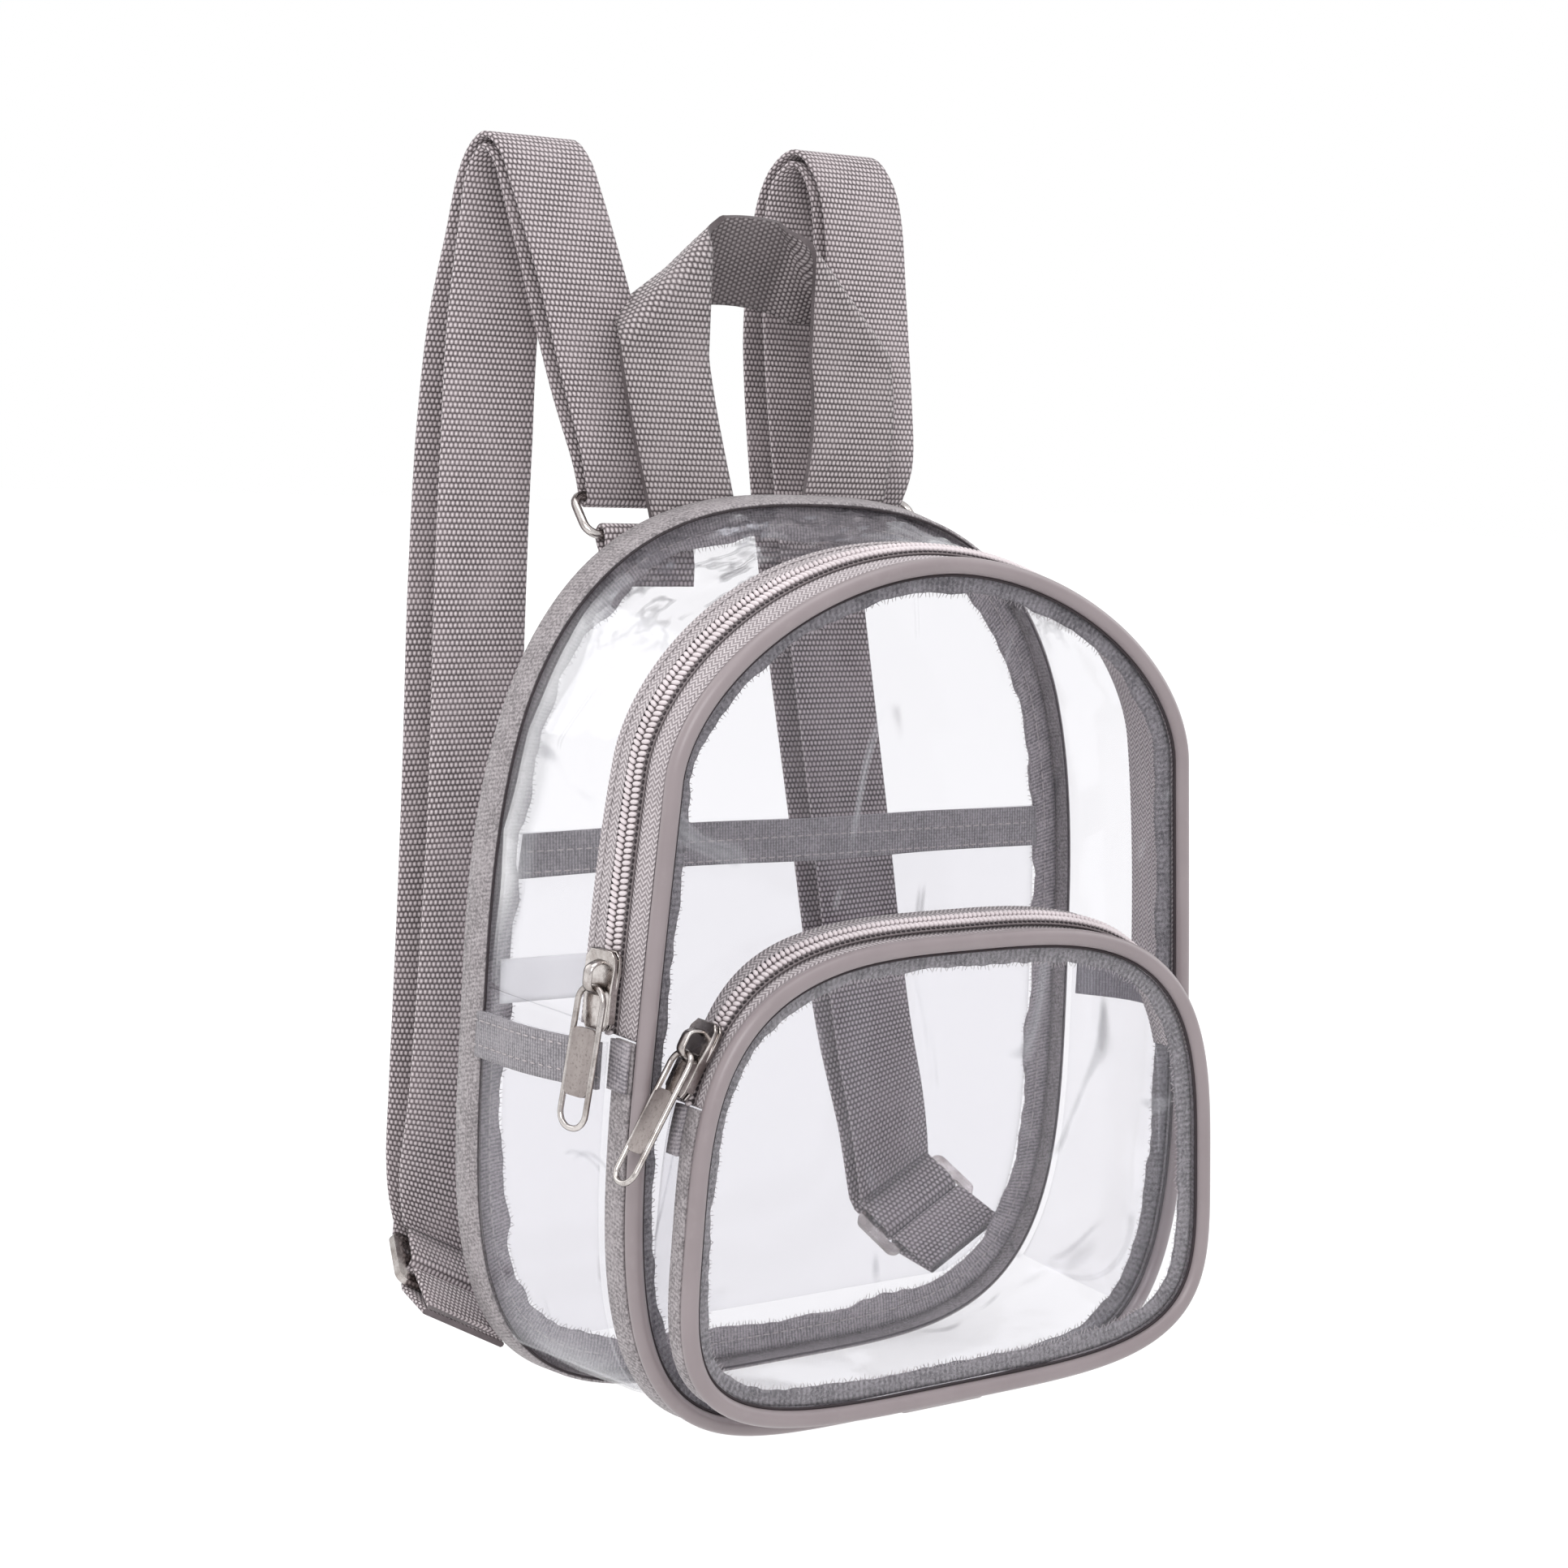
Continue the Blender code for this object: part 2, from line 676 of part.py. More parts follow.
lay_sheet("inner_pocket", "film", inner_rows(inner_heights, inner_face), FILM, 1)
band_face = inner_face - FILM - CLEARANCE
lay_sheet(
    "inner_band", "binding",
    inner_rows((INNER_POCKET_TOP - BAND_HEIGHT, INNER_POCKET_TOP), band_face), BAND_CLOTH, 1,
)

# Bare cloth tag caught under the sewn flange on the left

tag_root = -inner_half_width(TAG_UP) - TAG_TUCK
tag_rows = [
    [Vector((tag_root + reach, band_face, height)) for reach in (0, TAG_LENGTH / 2, TAG_LENGTH)]
    for height in (TAG_UP - TAG_HEIGHT, TAG_UP)
]
lay_sheet("tag", "tag", tag_rows, TAG_CLOTH, 1)


# Zip sliders and pulls


def filled_curve(outlines):
    """A flat filled curve; an outline inside another cuts a hole."""
    curve = bpy.data.curves.new("profile", "CURVE")
    curve.dimensions = "2D"
    curve.fill_mode = "BOTH"
    for outline in outlines:
        spline = curve.splines.new("POLY")
        spline.points.add(len(outline) - 1)
        for target, point in zip(spline.points, outline):
            target.co = (point[0], point[1], 0, 1)
        spline.use_cyclic_u = True
    return curve


def rounded_rectangle(length, width, radius, centre=(0, 0), steps=3):
    points = []
    for turn, (side_x, side_y) in enumerate(((1, 1), (-1, 1), (-1, -1), (1, -1))):
        for step in range(steps + 1):
            angle = (turn + step / steps) * math.pi / 2
            x = side_x * (length / 2 - radius) + math.cos(angle) * radius
            y = side_y * (width / 2 - radius) + math.sin(angle) * radius
            points.append((centre[0] + x, centre[1] + y))
    return points


def mesh_from_curve(name, curve, thickness):
    """A flat outline given a thickness, as a welded mesh."""
    curve.extrude = thickness / 2
    helper = bpy.data.objects.new(name, curve)
    tool_collection.objects.link(helper)
    bpy.context.view_layer.update()
    shape = helper.evaluated_get(bpy.context.evaluated_depsgraph_get())
    mesh = bpy.data.meshes.new_from_object(shape)
    bpy.data.objects.remove(helper, do_unlink=True)
    bm = bmesh.new()
    bm.from_mesh(mesh)
    bmesh.ops.remove_doubles(bm, verts=bm.verts, dist=0.00001)
    bmesh.ops.recalc_face_normals(bm, faces=bm.faces)
    bm.to_mesh(mesh)
    bm.free()
    mesh.name = name
    return mesh


def zip_frame(point_at, share, forward, raise_by, side):
    """Axes on the zip: x along it upward, y towards the front, z out of it."""
    nudge = 0.002
    place = point_at(share, forward, raise_by)
    upward = point_at(share + side * nudge, forward, raise_by) - place
    upward.normalize()
    across = point_at(share, forward + nudge / 2, raise_by) - point_at(share, forward - nudge / 2, raise_by)
    across = (across - upward * across.dot(upward)).normalized()
    out = upward.cross(across)
    if out.x * side < 0:
        across, out = -across, -out
    frame = Matrix((upward, across, out)).transposed().to_4x4()
    frame.translation = place
    return frame


def pocket_wall(share, forward, out):
    return pocket_point(share, forward, None, out)


bar_height = SLIDER_THICKNESS + BRIDGE_CLEAR / 2
bar_along = BRIDGE_START + BRIDGE_WALL + PULL_THICKNESS / 2 + PULL_PLAY


def add_slider(name, frame):
    """Slider body with the bridge that carries the pull; its low end is at the frame's origin."""
    plan = rounded_rectangle(SLIDER_LENGTH, SLIDER_WIDTH, SLIDER_CORNER, (SLIDER_LENGTH / 2, 0))
    body_mesh = mesh_from_curve(name, filled_curve([plan]), SLIDER_THICKNESS)
    body_mesh.transform(Matrix.Translation((0, 0, SLIDER_THICKNESS / 2)))
    body = add_object(name, body_mesh, "metal")
    sunk = SLIDER_THICKNESS / 2
    top = BRIDGE_CLEAR + BRIDGE_WALL
    outer = [(0, -sunk), (BRIDGE_LENGTH, -sunk), (BRIDGE_LENGTH, BRIDGE_SHOULDER),
             (BRIDGE_LENGTH - BRIDGE_CORNER, top), (BRIDGE_CORNER, top), (0, BRIDGE_SHOULDER)]
    inside = [(BRIDGE_WALL, 0), (BRIDGE_LENGTH - BRIDGE_WALL, 0),
              (BRIDGE_LENGTH - BRIDGE_WALL, BRIDGE_CLEAR), (BRIDGE_WALL, BRIDGE_CLEAR)]
    bridge_mesh = mesh_from_curve(name + "_bridge", filled_curve([outer, inside]), BRIDGE_WIDTH)
    bridge_mesh.transform(Matrix.Rotation(math.pi / 2, 4, "X"))
    bridge_mesh.transform(Matrix.Translation((BRIDGE_START, 0, SLIDER_THICKNESS)))
    bridge = bpy.data.objects.new(name + "_bridge", bridge_mesh)
    tool_collection.objects.link(bridge)
    bridge.hide_render = True
    bridge.display_type = "WIRE"
    join = body.modifiers.new("bridge", "BOOLEAN")
    join.operation = "UNION"
    join.object = bridge
    for item in (body, bridge):
        item.parent = hang_empty
        item.matrix_local = frame


def add_pull(name, frame, width, lean):
    """Pull on the slider's bridge, with its origin on the bar that it swings about.

    At rest it hangs at the given angle from plumb, outward.
    """
    middle = -PULL_LENGTH / 2 + PULL_RIM / 2
    eye_middle = -PULL_RIM / 2 - PULL_EYE / 2
    window_middle = PULL_RIM / 2 - PULL_LENGTH + PULL_RIM + PULL_WINDOW / 2
    inner_width = width - 2 * PULL_RIM
    profile = filled_curve([
        rounded_rectangle(PULL_LENGTH, width, width * PULL_ROUNDING, (middle, 0), 4),
        rounded_rectangle(PULL_EYE, inner_width, inner_width * PULL_ROUNDING / 2, (eye_middle, 0), 2),
        rounded_rectangle(PULL_WINDOW, inner_width, inner_width * PULL_ROUNDING, (window_middle, 0), 3),
    ])
    mesh = mesh_from_curve(name, profile, PULL_THICKNESS)
    pull = add_object(name, mesh, "metal")
    seat = Matrix.Translation((bar_along, 0, bar_height))
    hanging = frame.to_3x3().transposed() @ Vector((-math.sin(lean), 0, -math.cos(lean)))
    turn = math.atan2(hanging.z, -hanging.x)
    pull.matrix_local = frame @ seat @ Matrix.Rotation(turn, 4, "Y")


raise_by = chain_top + CLEARANCE
half_slider = SLIDER_LENGTH / 2
main_slider_share = -front_outline.share_at_height(MAIN_SLIDER_HEIGHT)
main_frame = zip_frame(wall_point, main_slider_share, chain_middle, raise_by, -1)
main_frame = main_frame @ Matrix.Translation((-half_slider, 0, 0))
add_slider("main_slider", main_frame)
add_pull("main_pull", main_frame, PULL_WIDTH, MAIN_PULL_LEAN)

pocket_slider_share = -pocket_outline.share_at_height(POCKET_SLIDER_HEIGHT)
pocket_frame = zip_frame(pocket_wall, pocket_slider_share, POCKET_CHAIN_FORWARD, raise_by, -1)
pocket_frame = pocket_frame @ Matrix.Translation((-half_slider, 0, 0))
add_slider("pocket_slider", pocket_frame)
add_pull("pocket_pull", pocket_frame, POCKET_PULL_WIDTH, POCKET_PULL_LEAN)


# Handle: one webbing strip folded over twice at the corners of its top run


def bend_back(point, start, along, across, radius):
    """Wraps a flat strip backwards over a line; beyond the line it returns behind itself."""
    offset = point - start
    run = offset.dot(along)
    reach = offset.dot(across)
    depth = 0.0
    if reach > math.pi * radius:
        reach, depth = -(reach - math.pi * radius), 2 * radius
    elif reach > 0:
        angle = reach / radius
        reach, depth = radius * math.sin(angle), radius * (1 - math.cos(angle))
    flat = start + along * run + across * reach
    return Vector((flat.x, depth, flat.z))


def seam_height(x):
    """Height of the back panel's edge above a place across it."""
    low, high = 0.25, 0.5
    while high - low > 1e-6:
        middle = (low + high) / 2
        if back_outline.at(middle)[0] > abs(x):
            low = middle
        else:
            high = middle
    return back_outline.at(low)[1]


half_web = WEBBING_WIDTH / 2
handle_behind = edge_out + CLEARANCE + WEBBING / 2
handle_foot = seam_height(abs(HANDLE_OFFSET) + HANDLE_LEG_SPACING / 2 + half_web) - EDGE_LIP
handle_top = BACK_HEIGHT + HANDLE_RISE
fold_rise = math.pi * HANDLE_FOLD_RADIUS / math.sqrt(2)
fold_start = handle_top - WEBBING_WIDTH - fold_rise
fold_corner = Vector((-half_web, 0, fold_start))
fold_along = Vector((1, 0, 1)).normalized()
fold_across = Vector((-1, 0, 1)).normalized()
strip_end = fold_start + HANDLE_LEG_SPACING / 2 + HANDLE_SPLAY + half_web + fold_rise


def handle_point(left_run, side):
    flat = Vector((side * half_web, 0, left_run))
    bent = bend_back(flat, fold_corner, fold_along, fold_across, HANDLE_FOLD_RADIUS)
    climb = min(max((bent.z - handle_foot) / (fold_start - handle_foot), 0), 1)
    ease = math.sin(climb * math.pi / 2)
    x = bent.x - HANDLE_LEG_SPACING / 2 - HANDLE_SPLAY * ease
    y = bent.y + handle_behind + HANDLE_LEAN * climb ** 2
    return Vector((min(x, 0), y, bent.z))


handle_rows = []
square_rows = 6
skew_start = fold_start - HANDLE_SKEW
for row in range(square_rows):
    run = handle_foot + (skew_start - handle_foot) * row / square_rows
    handle_rows.append((run, run))
skew_rows = 3
for row in range(skew_rows):
    way = row / skew_rows
    handle_rows.append((skew_start + HANDLE_SKEW * way, skew_start + (HANDLE_SKEW + WEBBING_WIDTH) * way))
bend_rows = 8
bend_run = fold_rise * 2
for row in range(bend_rows + 1):
    run = fold_start + bend_run * row / bend_rows
    handle_rows.append((run, run + WEBBING_WIDTH))
for way in (0.34, 0.67, 1.0):
    left = fold_start + bend_run + (strip_end - fold_start - bend_run) * way
    right_start = fold_start + bend_run + WEBBING_WIDTH
    right = right_start + (strip_end - right_start) * way
    handle_rows.append((left, right))
handle_grid = [[handle_point(left, -1), handle_point(right, 1)] for left, right in handle_rows]
for point in handle_grid[-1]:
    point.x = 0
handle = lay_sheet("handle", "webbing", handle_grid, WEBBING, 0)
handle.location.x = HANDLE_OFFSET
mirror = handle.modifiers.new("mirror", "MIRROR")
mirror.merge_threshold = 0.00005
handle.modifiers.move(1, 0)


# Rings, adjusters, tabs and straps


def turned_frame(place, width_axis, length_axis):
    """Axes of a flat fitting: x across the webbing, y along it, z through it."""
    across = width_axis.normalized()
    along = (length_axis - across * length_axis.dot(across)).normalized()
    frame = Matrix((across, along, across.cross(along))).transposed().to_4x4()
    frame.translation = place
    return frame


def add_ring(name, frame):
    """Rectangular wire ring; the frame's origin is the middle of its upper bar."""
    width = WEBBING_WIDTH + 2 * RING_PLAY + 2 * WIRE_RADIUS
    outline = rounded_rectangle(width, RING_HEIGHT, RING_CORNER, (0, -RING_HEIGHT / 2))
    tube(name, "metal", [frame @ Vector((*point, 0)) for point in outline], WIRE_RADIUS, True)


def add_adjuster(name, frame):
    """Flat three-bar slide; the frame's origin is the middle of its centre bar."""
    slot_width = WEBBING_WIDTH + RING_PLAY
    slot_height = (ADJUSTER_HEIGHT - 3 * ADJUSTER_BAR) / 2
    offset = (slot_height + ADJUSTER_BAR) / 2
    width = slot_width + 2 * ADJUSTER_BAR
    profile = filled_curve([
        rounded_rectangle(width, ADJUSTER_HEIGHT, ADJUSTER_BAR, (0, 0)),
        rounded_rectangle(slot_width, slot_height, SLOT_CORNER, (0, offset), 2),
        rounded_rectangle(slot_width, slot_height, SLOT_CORNER, (0, -offset), 2),
    ])
    adjuster = add_object(name, mesh_from_curve(name, profile, ADJUSTER_PLATE), "metal")
    adjuster.matrix_local = frame


def webbing_run(name, rows, wrap_start, wrap_end):
    """Doubled webbing along rows of (place, width axis, opening), turned round a bar at its ends."""
    frames = []
    for index, (place, width_axis, opening) in enumerate(rows):
        before = rows[max(index - 1, 0)][0]
        after = rows[min(index + 1, len(rows) - 1)][0]
        across = width_axis.normalized()
        along = after - before
        along = (along - across * along.dot(across)).normalized()
        frames.append((place, across, along, along.cross(across), opening))
    stations = []
    for place, across, along, normal, opening in frames:
        stations.append((place + normal * opening / 2, across, normal))

    def wrap(frame, sign):
        place, across, along, normal, opening = frame
        for step in range(1, wrap_steps):
            angle = math.pi * step / wrap_steps
            out = normal * math.cos(angle) * sign + along * math.sin(angle) * sign
            stations.append((place + out * opening / 2, across, out))

    wrap_steps = 6
    if wrap_end:
        wrap(frames[-1], 1)
    for place, across, along, normal, opening in reversed(frames):
        stations.append((place - normal * opening / 2, across, -normal))
    if wrap_start:
        wrap(frames[0], -1)
    sections = []
    for place, across, normal in stations:
        side = across * half_web
        half = normal * WEBBING / 2
        sections.append([place - side - half, place + side - half, place + side + half, place - side + half])
    return section_strip(name, "webbing", sections, wrap_start and wrap_end)


def smooth_rows(rows, steps):
    """Rows read from a smooth curve through the given ones."""
    fine = []
    for index in range(len(rows) - 1):
        four = [rows[min(max(index + shift, 0), len(rows) - 1)] for shift in (-1, 0, 1, 2)]
        for step in range(steps):
            t = step / steps
            weights = (
                -0.5 * t + t * t - 0.5 * t ** 3, 1 - 2.5 * t * t + 1.5 * t ** 3,
                0.5 * t + 2 * t * t - 1.5 * t ** 3, -0.5 * t * t + 0.5 * t ** 3,
            )
            place = sum((row[0] * weight for row, weight in zip(four, weights)), Vector())
            width = four[1][1].lerp(four[2][1], t)
            opening = four[1][2] + (four[2][2] - four[1][2]) * t
            fine.append((place, width, opening))
    fine.append(rows[-1])
    return fine


round_wire = 2 * (WIRE_RADIUS + CLEARANCE) + WEBBING
round_bar = 2 * (math.hypot(ADJUSTER_BAR, ADJUSTER_PLATE) / 2 + CLEARANCE) + WEBBING
tab_closed = WEBBING + CLEARANCE
ring_side = abs(RING_OFFSET) + RING_SPACING / 2 + half_web
ring_height = seam_height(ring_side) + RING_HEIGHT * math.cos(RING_LEAN) + RING_RAISE

for side, word, strap_rise, climb, drop in (
    (-1, "left", LEFT_STRAP_RISE, LEFT_CLIMB, LEFT_DROP),
    (1, "right", RIGHT_STRAP_RISE, RIGHT_CLIMB, RIGHT_DROP),
):
    across = Vector((1, 0, 0))
    fold_height = BACK_HEIGHT + strap_rise
    ring_x = RING_OFFSET + side * RING_SPACING / 2
    ring_place = Vector((ring_x, RING_BEHIND, ring_height))
    ring_up = Vector((0, math.sin(RING_LEAN), math.cos(RING_LEAN)))
    ring_frame = turned_frame(ring_place, across, ring_up)
    add_ring("ring_" + word, ring_frame)

    lower_bar = ring_frame @ Vector((0, -RING_HEIGHT, 0))
    tab_behind = edge_out + 2 * CLEARANCE + WEBBING + (tab_closed + WEBBING) / 2
    tab_foot = Vector((lower_bar.x, tab_behind, lower_bar.z - RING_TAB_DROP))
    tab_rows = [
        (tab_foot, across, tab_closed),
        (tab_foot + Vector((0, 0, RING_TAB_DROP * 0.4)), across, tab_closed),
        (lower_bar, across, round_wire),
    ]
    webbing_run("ring_tab_" + word, tab_rows, False, True)

    slide_width = Vector((math.cos(ADJUSTER_TILT), 0, side * math.sin(ADJUSTER_TILT)))
    slide_up = Vector((0, math.sin(ADJUSTER_LEAN), math.cos(ADJUSTER_LEAN)))
    slide_place = Vector((CARRY_OFFSET + side * ADJUSTER_SPACING / 2, ADJUSTER_BEHIND, ADJUSTER_UP))
    slide_frame = turned_frame(slide_place, slide_width, slide_up)
    add_adjuster("adjuster_" + word, slide_frame)

    low_bar = slide_frame @ Vector((0, -(ADJUSTER_HEIGHT - ADJUSTER_BAR) / 2, 0))
    downward = Vector((side * math.sin(ADJUSTER_TILT), 0, -math.cos(ADJUSTER_TILT)))
    corner = low_bar + downward * ADJUSTER_TAB_DROP
    corner.y = edge_out + 3 * CLEARANCE
    low_rows = [(corner, slide_width, tab_closed), (low_bar, slide_width, round_bar)]
    webbing_run("adjuster_tab_" + word, low_rows, False, True)

    rows = [(ring_place, across, round_wire)]
    for row in climb:
        place = Vector((
            CARRY_OFFSET + side * row["across"] * BACK_WIDTH, row["behind"] * STRAP_REACH,
            ring_place.z + (fold_height - ring_place.z) * row["up"],
        ))
        rows.append((place, across, row["open"] * STRAP_SPREAD))
    for row in drop:
        place = Vector((
            CARRY_OFFSET + side * row["across"] * BACK_WIDTH, row["behind"] * STRAP_REACH,
            slide_place.z + (fold_height - slide_place.z) * row["up"],
        ))
        rows.append((place, across.lerp(slide_width, max(0, 1 - row["up"] * 4)), row["open"] * STRAP_SPREAD))
    slide_head = slide_frame @ Vector((0, ADJUSTER_HEIGHT / 2 + 2 * WEBBING, 0))
    slide_throat = slide_frame @ Vector((0, ADJUSTER_HEIGHT / 4, 0))
    rows.append((slide_head, slide_width, round_bar))
    rows = smooth_rows(rows, 3)
    rows.append((slide_throat, slide_width, round_bar))
    rows.append((slide_place, slide_width, round_bar))
    webbing_run("strap_" + word, rows, True, True)
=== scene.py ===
import math
import bmesh
import bpy
import numpy as np
from mathutils import Matrix, Vector, noise


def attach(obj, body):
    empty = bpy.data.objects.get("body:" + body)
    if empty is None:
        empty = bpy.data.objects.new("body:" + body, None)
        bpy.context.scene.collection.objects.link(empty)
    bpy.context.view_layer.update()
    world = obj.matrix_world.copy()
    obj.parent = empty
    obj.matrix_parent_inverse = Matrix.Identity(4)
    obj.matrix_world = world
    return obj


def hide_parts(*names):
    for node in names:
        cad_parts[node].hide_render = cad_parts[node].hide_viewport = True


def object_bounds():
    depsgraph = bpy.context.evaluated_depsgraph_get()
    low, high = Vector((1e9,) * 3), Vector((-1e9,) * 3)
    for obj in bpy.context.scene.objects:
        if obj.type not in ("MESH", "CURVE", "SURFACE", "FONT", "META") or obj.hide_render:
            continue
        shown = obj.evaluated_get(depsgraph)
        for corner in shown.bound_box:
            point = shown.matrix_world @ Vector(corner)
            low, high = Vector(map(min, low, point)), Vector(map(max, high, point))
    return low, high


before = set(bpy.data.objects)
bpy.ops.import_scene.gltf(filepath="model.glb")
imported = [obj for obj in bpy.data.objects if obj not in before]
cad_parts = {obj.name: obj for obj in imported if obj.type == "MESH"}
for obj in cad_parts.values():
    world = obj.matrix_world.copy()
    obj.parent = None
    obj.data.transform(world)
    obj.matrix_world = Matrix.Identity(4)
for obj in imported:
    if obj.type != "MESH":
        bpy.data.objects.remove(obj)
cadBounds = [list(corner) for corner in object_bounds()]

# Shapes are worked out with height zero at the foot of the back panel and moved to the hanging point last.
hangPoint = np.array([-0.0100, 0.0360, 0.29535])
clearance = 0.0003
film = 0.001

body = {
    "depth": 0.060,
    "back": {"width": 0.180, "height": 0.216, "lift": 0.0, "split": 0.47, "low": 3.97, "high": 2.76,
             "taper": 0.05},
    "front": {"width": 0.160, "height": 0.199, "lift": 0.005, "split": 0.76, "low": 4.84, "high": 1.85,
              "taper": 0.21},
    "pocket": {"width": 0.1515, "height": 0.1065, "lift": 0.012, "split": 0.44, "low": 4.07, "high": 3.21,
               "taper": 0.08},
    "pocketDeepLow": 0.0165, "pocketDeepHigh": 0.0140,
    "pocketSlope": {"from": 0.096, "over": 0.020, "rise": 0.0052},
    "pipingRadius": 0.002, "tapeCloth": 0.001,
}


def length(rows):
    return np.linalg.norm(rows, axis=-1, keepdims=True)


def unit(rows):
    return rows / length(rows)


class Outline:
    def __init__(self, shape):
        quarter = np.linspace(0, math.pi / 2, 601)
        foot = shape["split"] * shape["height"]
        half = shape["width"] / 2
        lowX = half * np.sin(quarter[:-1]) ** (2 / shape["low"])
        lowZ = foot * (1 - np.cos(quarter[:-1]) ** (2 / shape["low"]))
        highX = half * np.maximum(np.cos(quarter), 0) ** (2 / shape["high"])
        highZ = foot + (shape["height"] - foot) * np.sin(quarter) ** (2 / shape["high"])
        self.z = np.concatenate((lowZ, highZ))
        self.x = np.concatenate((lowX, highX)) * (1 - shape["taper"] * (self.z / shape["height"] - 0.5))
        self.run = np.concatenate(([0], np.cumsum(np.hypot(np.diff(self.x), np.diff(self.z)))))
        self.lift = shape["lift"]
        self.whole = 2 * self.run[-1]

    def at(self, share):
        share = np.asarray(share, float) % 1
        way = np.where(share <= 0.5, share, 1 - share) * self.whole
        x = np.interp(way, self.run, self.x) * np.where(share <= 0.5, 1, -1)
        return np.stack((x, np.interp(way, self.run, self.z) + self.lift), -1)

    def shareAt(self, height):
        shares = np.linspace(0.02, 0.49, 4000)
        return float(np.interp(height, self.at(shares)[:, 1], shares))


backOutline = Outline(body["back"])
frontOutline = Outline(body["front"])
pocketOutline = Outline(body["pocket"])


def outward(reader, share):
    along = reader(share + 0.0015) - reader(share - 0.0015)
    along = unit(along)
    return np.stack((along[..., 1], -along[..., 0]), -1)


def gussetAt(share, forward, out):
    share, forward, out = np.broadcast_arrays(np.asarray(share, float), forward, out)
    blend = np.clip(forward / body["depth"], 0, 1)[..., None]

    def reader(place):
        return backOutline.at(place) * (1 - blend) + frontOutline.at(place) * blend

    flat = reader(share) + outward(reader, share) * out[..., None]
    return np.stack((flat[..., 0], -forward, flat[..., 1]), -1)


def pocketDepth(height):
    rise = np.clip((height - body["pocket"]["lift"]) / body["pocket"]["height"], 0, 1)
    return body["pocketDeepLow"] + (body["pocketDeepHigh"] - body["pocketDeepLow"]) * rise


def pocketAt(share, forward, out):
    # The zip along the pocket's top slopes: it meets the panel a little higher than the rim.
    share, forward, out = np.broadcast_arrays(np.asarray(share, float), forward, out)
    slope = body["pocketSlope"]
    height = pocketOutline.at(share)[..., 1]
    rise = np.clip((height - slope["from"]) / slope["over"], 0, 1)
    rise = rise * rise * (3 - 2 * rise) * np.clip(1 - forward / pocketDepth(height), 0, 1)
    flat = pocketOutline.at(share) + outward(pocketOutline.at, share) * (out + slope["rise"] * rise)[..., None]
    return np.stack((flat[..., 0], -body["depth"] - forward, flat[..., 1]), -1)


def pocketRimAt(share, fromRim, out):
    share, fromRim, out = np.broadcast_arrays(np.asarray(share, float), fromRim, out)
    flat = pocketOutline.at(share) + outward(pocketOutline.at, share) * out[..., None]
    forward = pocketDepth(flat[..., 1]) - fromRim
    return np.stack((flat[..., 0], -body["depth"] - forward, flat[..., 1]), -1)


# Node graphs for finishes and repeats


class Wire:
    def __init__(self, graph, socket):
        self.graph, self.socket = graph, socket

    def calc(self, operation, first, second):
        return self.graph.add("ShaderNodeMath", {"operation": operation}, {0: first, 1: second})[0]

    def __add__(self, other):
        return self.calc("ADD", self, other)

    def __sub__(self, other):
        return self.calc("SUBTRACT", self, other)

    def __rsub__(self, other):
        return self.calc("SUBTRACT", other, self)

    def __mul__(self, other):
        return self.calc("MULTIPLY", self, other)

    def __truediv__(self, other):
        return self.calc("DIVIDE", self, other)

    def __pow__(self, other):
        return self.calc("POWER", self, other)

    __radd__ = __add__
    __rmul__ = __mul__


class Outputs:
    def __init__(self, graph, node):
        self.graph, self.node = graph, node

    def __getitem__(self, key):
        return Wire(self.graph, self.node.outputs[key])


class Graph:
    def __init__(self, tree):
        self.tree = tree
        tree.nodes.clear()

    def add(self, kind, settings=None, values=None):
        node = self.tree.nodes.new(kind)
        for key, value in (settings or {}).items():
            if key == "stops":
                points = node.color_ramp.elements
                while len(points) < len(value):
                    points.new(0.5)
                for point, (place, colour) in zip(points, value):
                    point.position = place
                    point.color = (*colour, 1)
            else:
                setattr(node, key, value)
        for key, value in (values or {}).items():
            socket = node.inputs[key]
            if isinstance(value, Wire):
                self.tree.links.new(value.socket, socket)
            elif socket.type == "RGBA" and len(value) == 3:
                socket.default_value = (*value, 1)
            else:
                socket.default_value = value
        return Outputs(self, node)

    def single(self, operation, value):
        return self.add("ShaderNodeMath", {"operation": operation}, {0: value})[0]

    def wave(self, turns):
        return self.single("SINE", turns * (2 * math.pi)) * 0.5 + 0.5

    def near(self, value, middle, reach):
        # One where the value is at the middle, falling to zero within reach of it.
        return 1.0 - self.ramp(self.single("ABSOLUTE", value - middle), 0.0, reach)

    def parts(self, vector):
        return self.add("ShaderNodeSeparateXYZ", None, {0: vector})

    def ramp(self, value, low, high):
        return self.add("ShaderNodeMapRange", {"interpolation_type": "SMOOTHSTEP"},
                        {"Value": value, "From Min": low, "From Max": high})[0]

    def blend(self, mask, first, second):
        return self.add("ShaderNodeMix", {"data_type": "RGBA"}, {0: mask, 6: first, 7: second})[2]

    def noise(self, place, scale, detail=3.0, rough=0.55):
        return self.add("ShaderNodeTexNoise", None,
                        {"Vector": place, "Scale": scale, "Detail": detail, "Roughness": rough})[0]

    def stretched(self, place, scale):
        return self.add("ShaderNodeMapping", None, {"Vector": place, "Scale": scale})[0]

    def bump(self, height, distance, strength=1.0, below=None):
        values = {"Height": height, "Distance": distance, "Strength": strength}
        if below is not None:
            values["Normal"] = below
        return self.add("ShaderNodeBump", None, values)[0]


finishes = {}


def newFinish(name):
    material = bpy.data.materials.new(name)
    material.use_nodes = True
    finishes[name] = material
    graph = Graph(material.node_tree)
    place = graph.add("ShaderNodeTexCoord")["Object"]
    uv = graph.parts(graph.add("ShaderNodeUVMap", {"uv_map": "run"})[0])
    return graph, place, uv[0], uv[1]


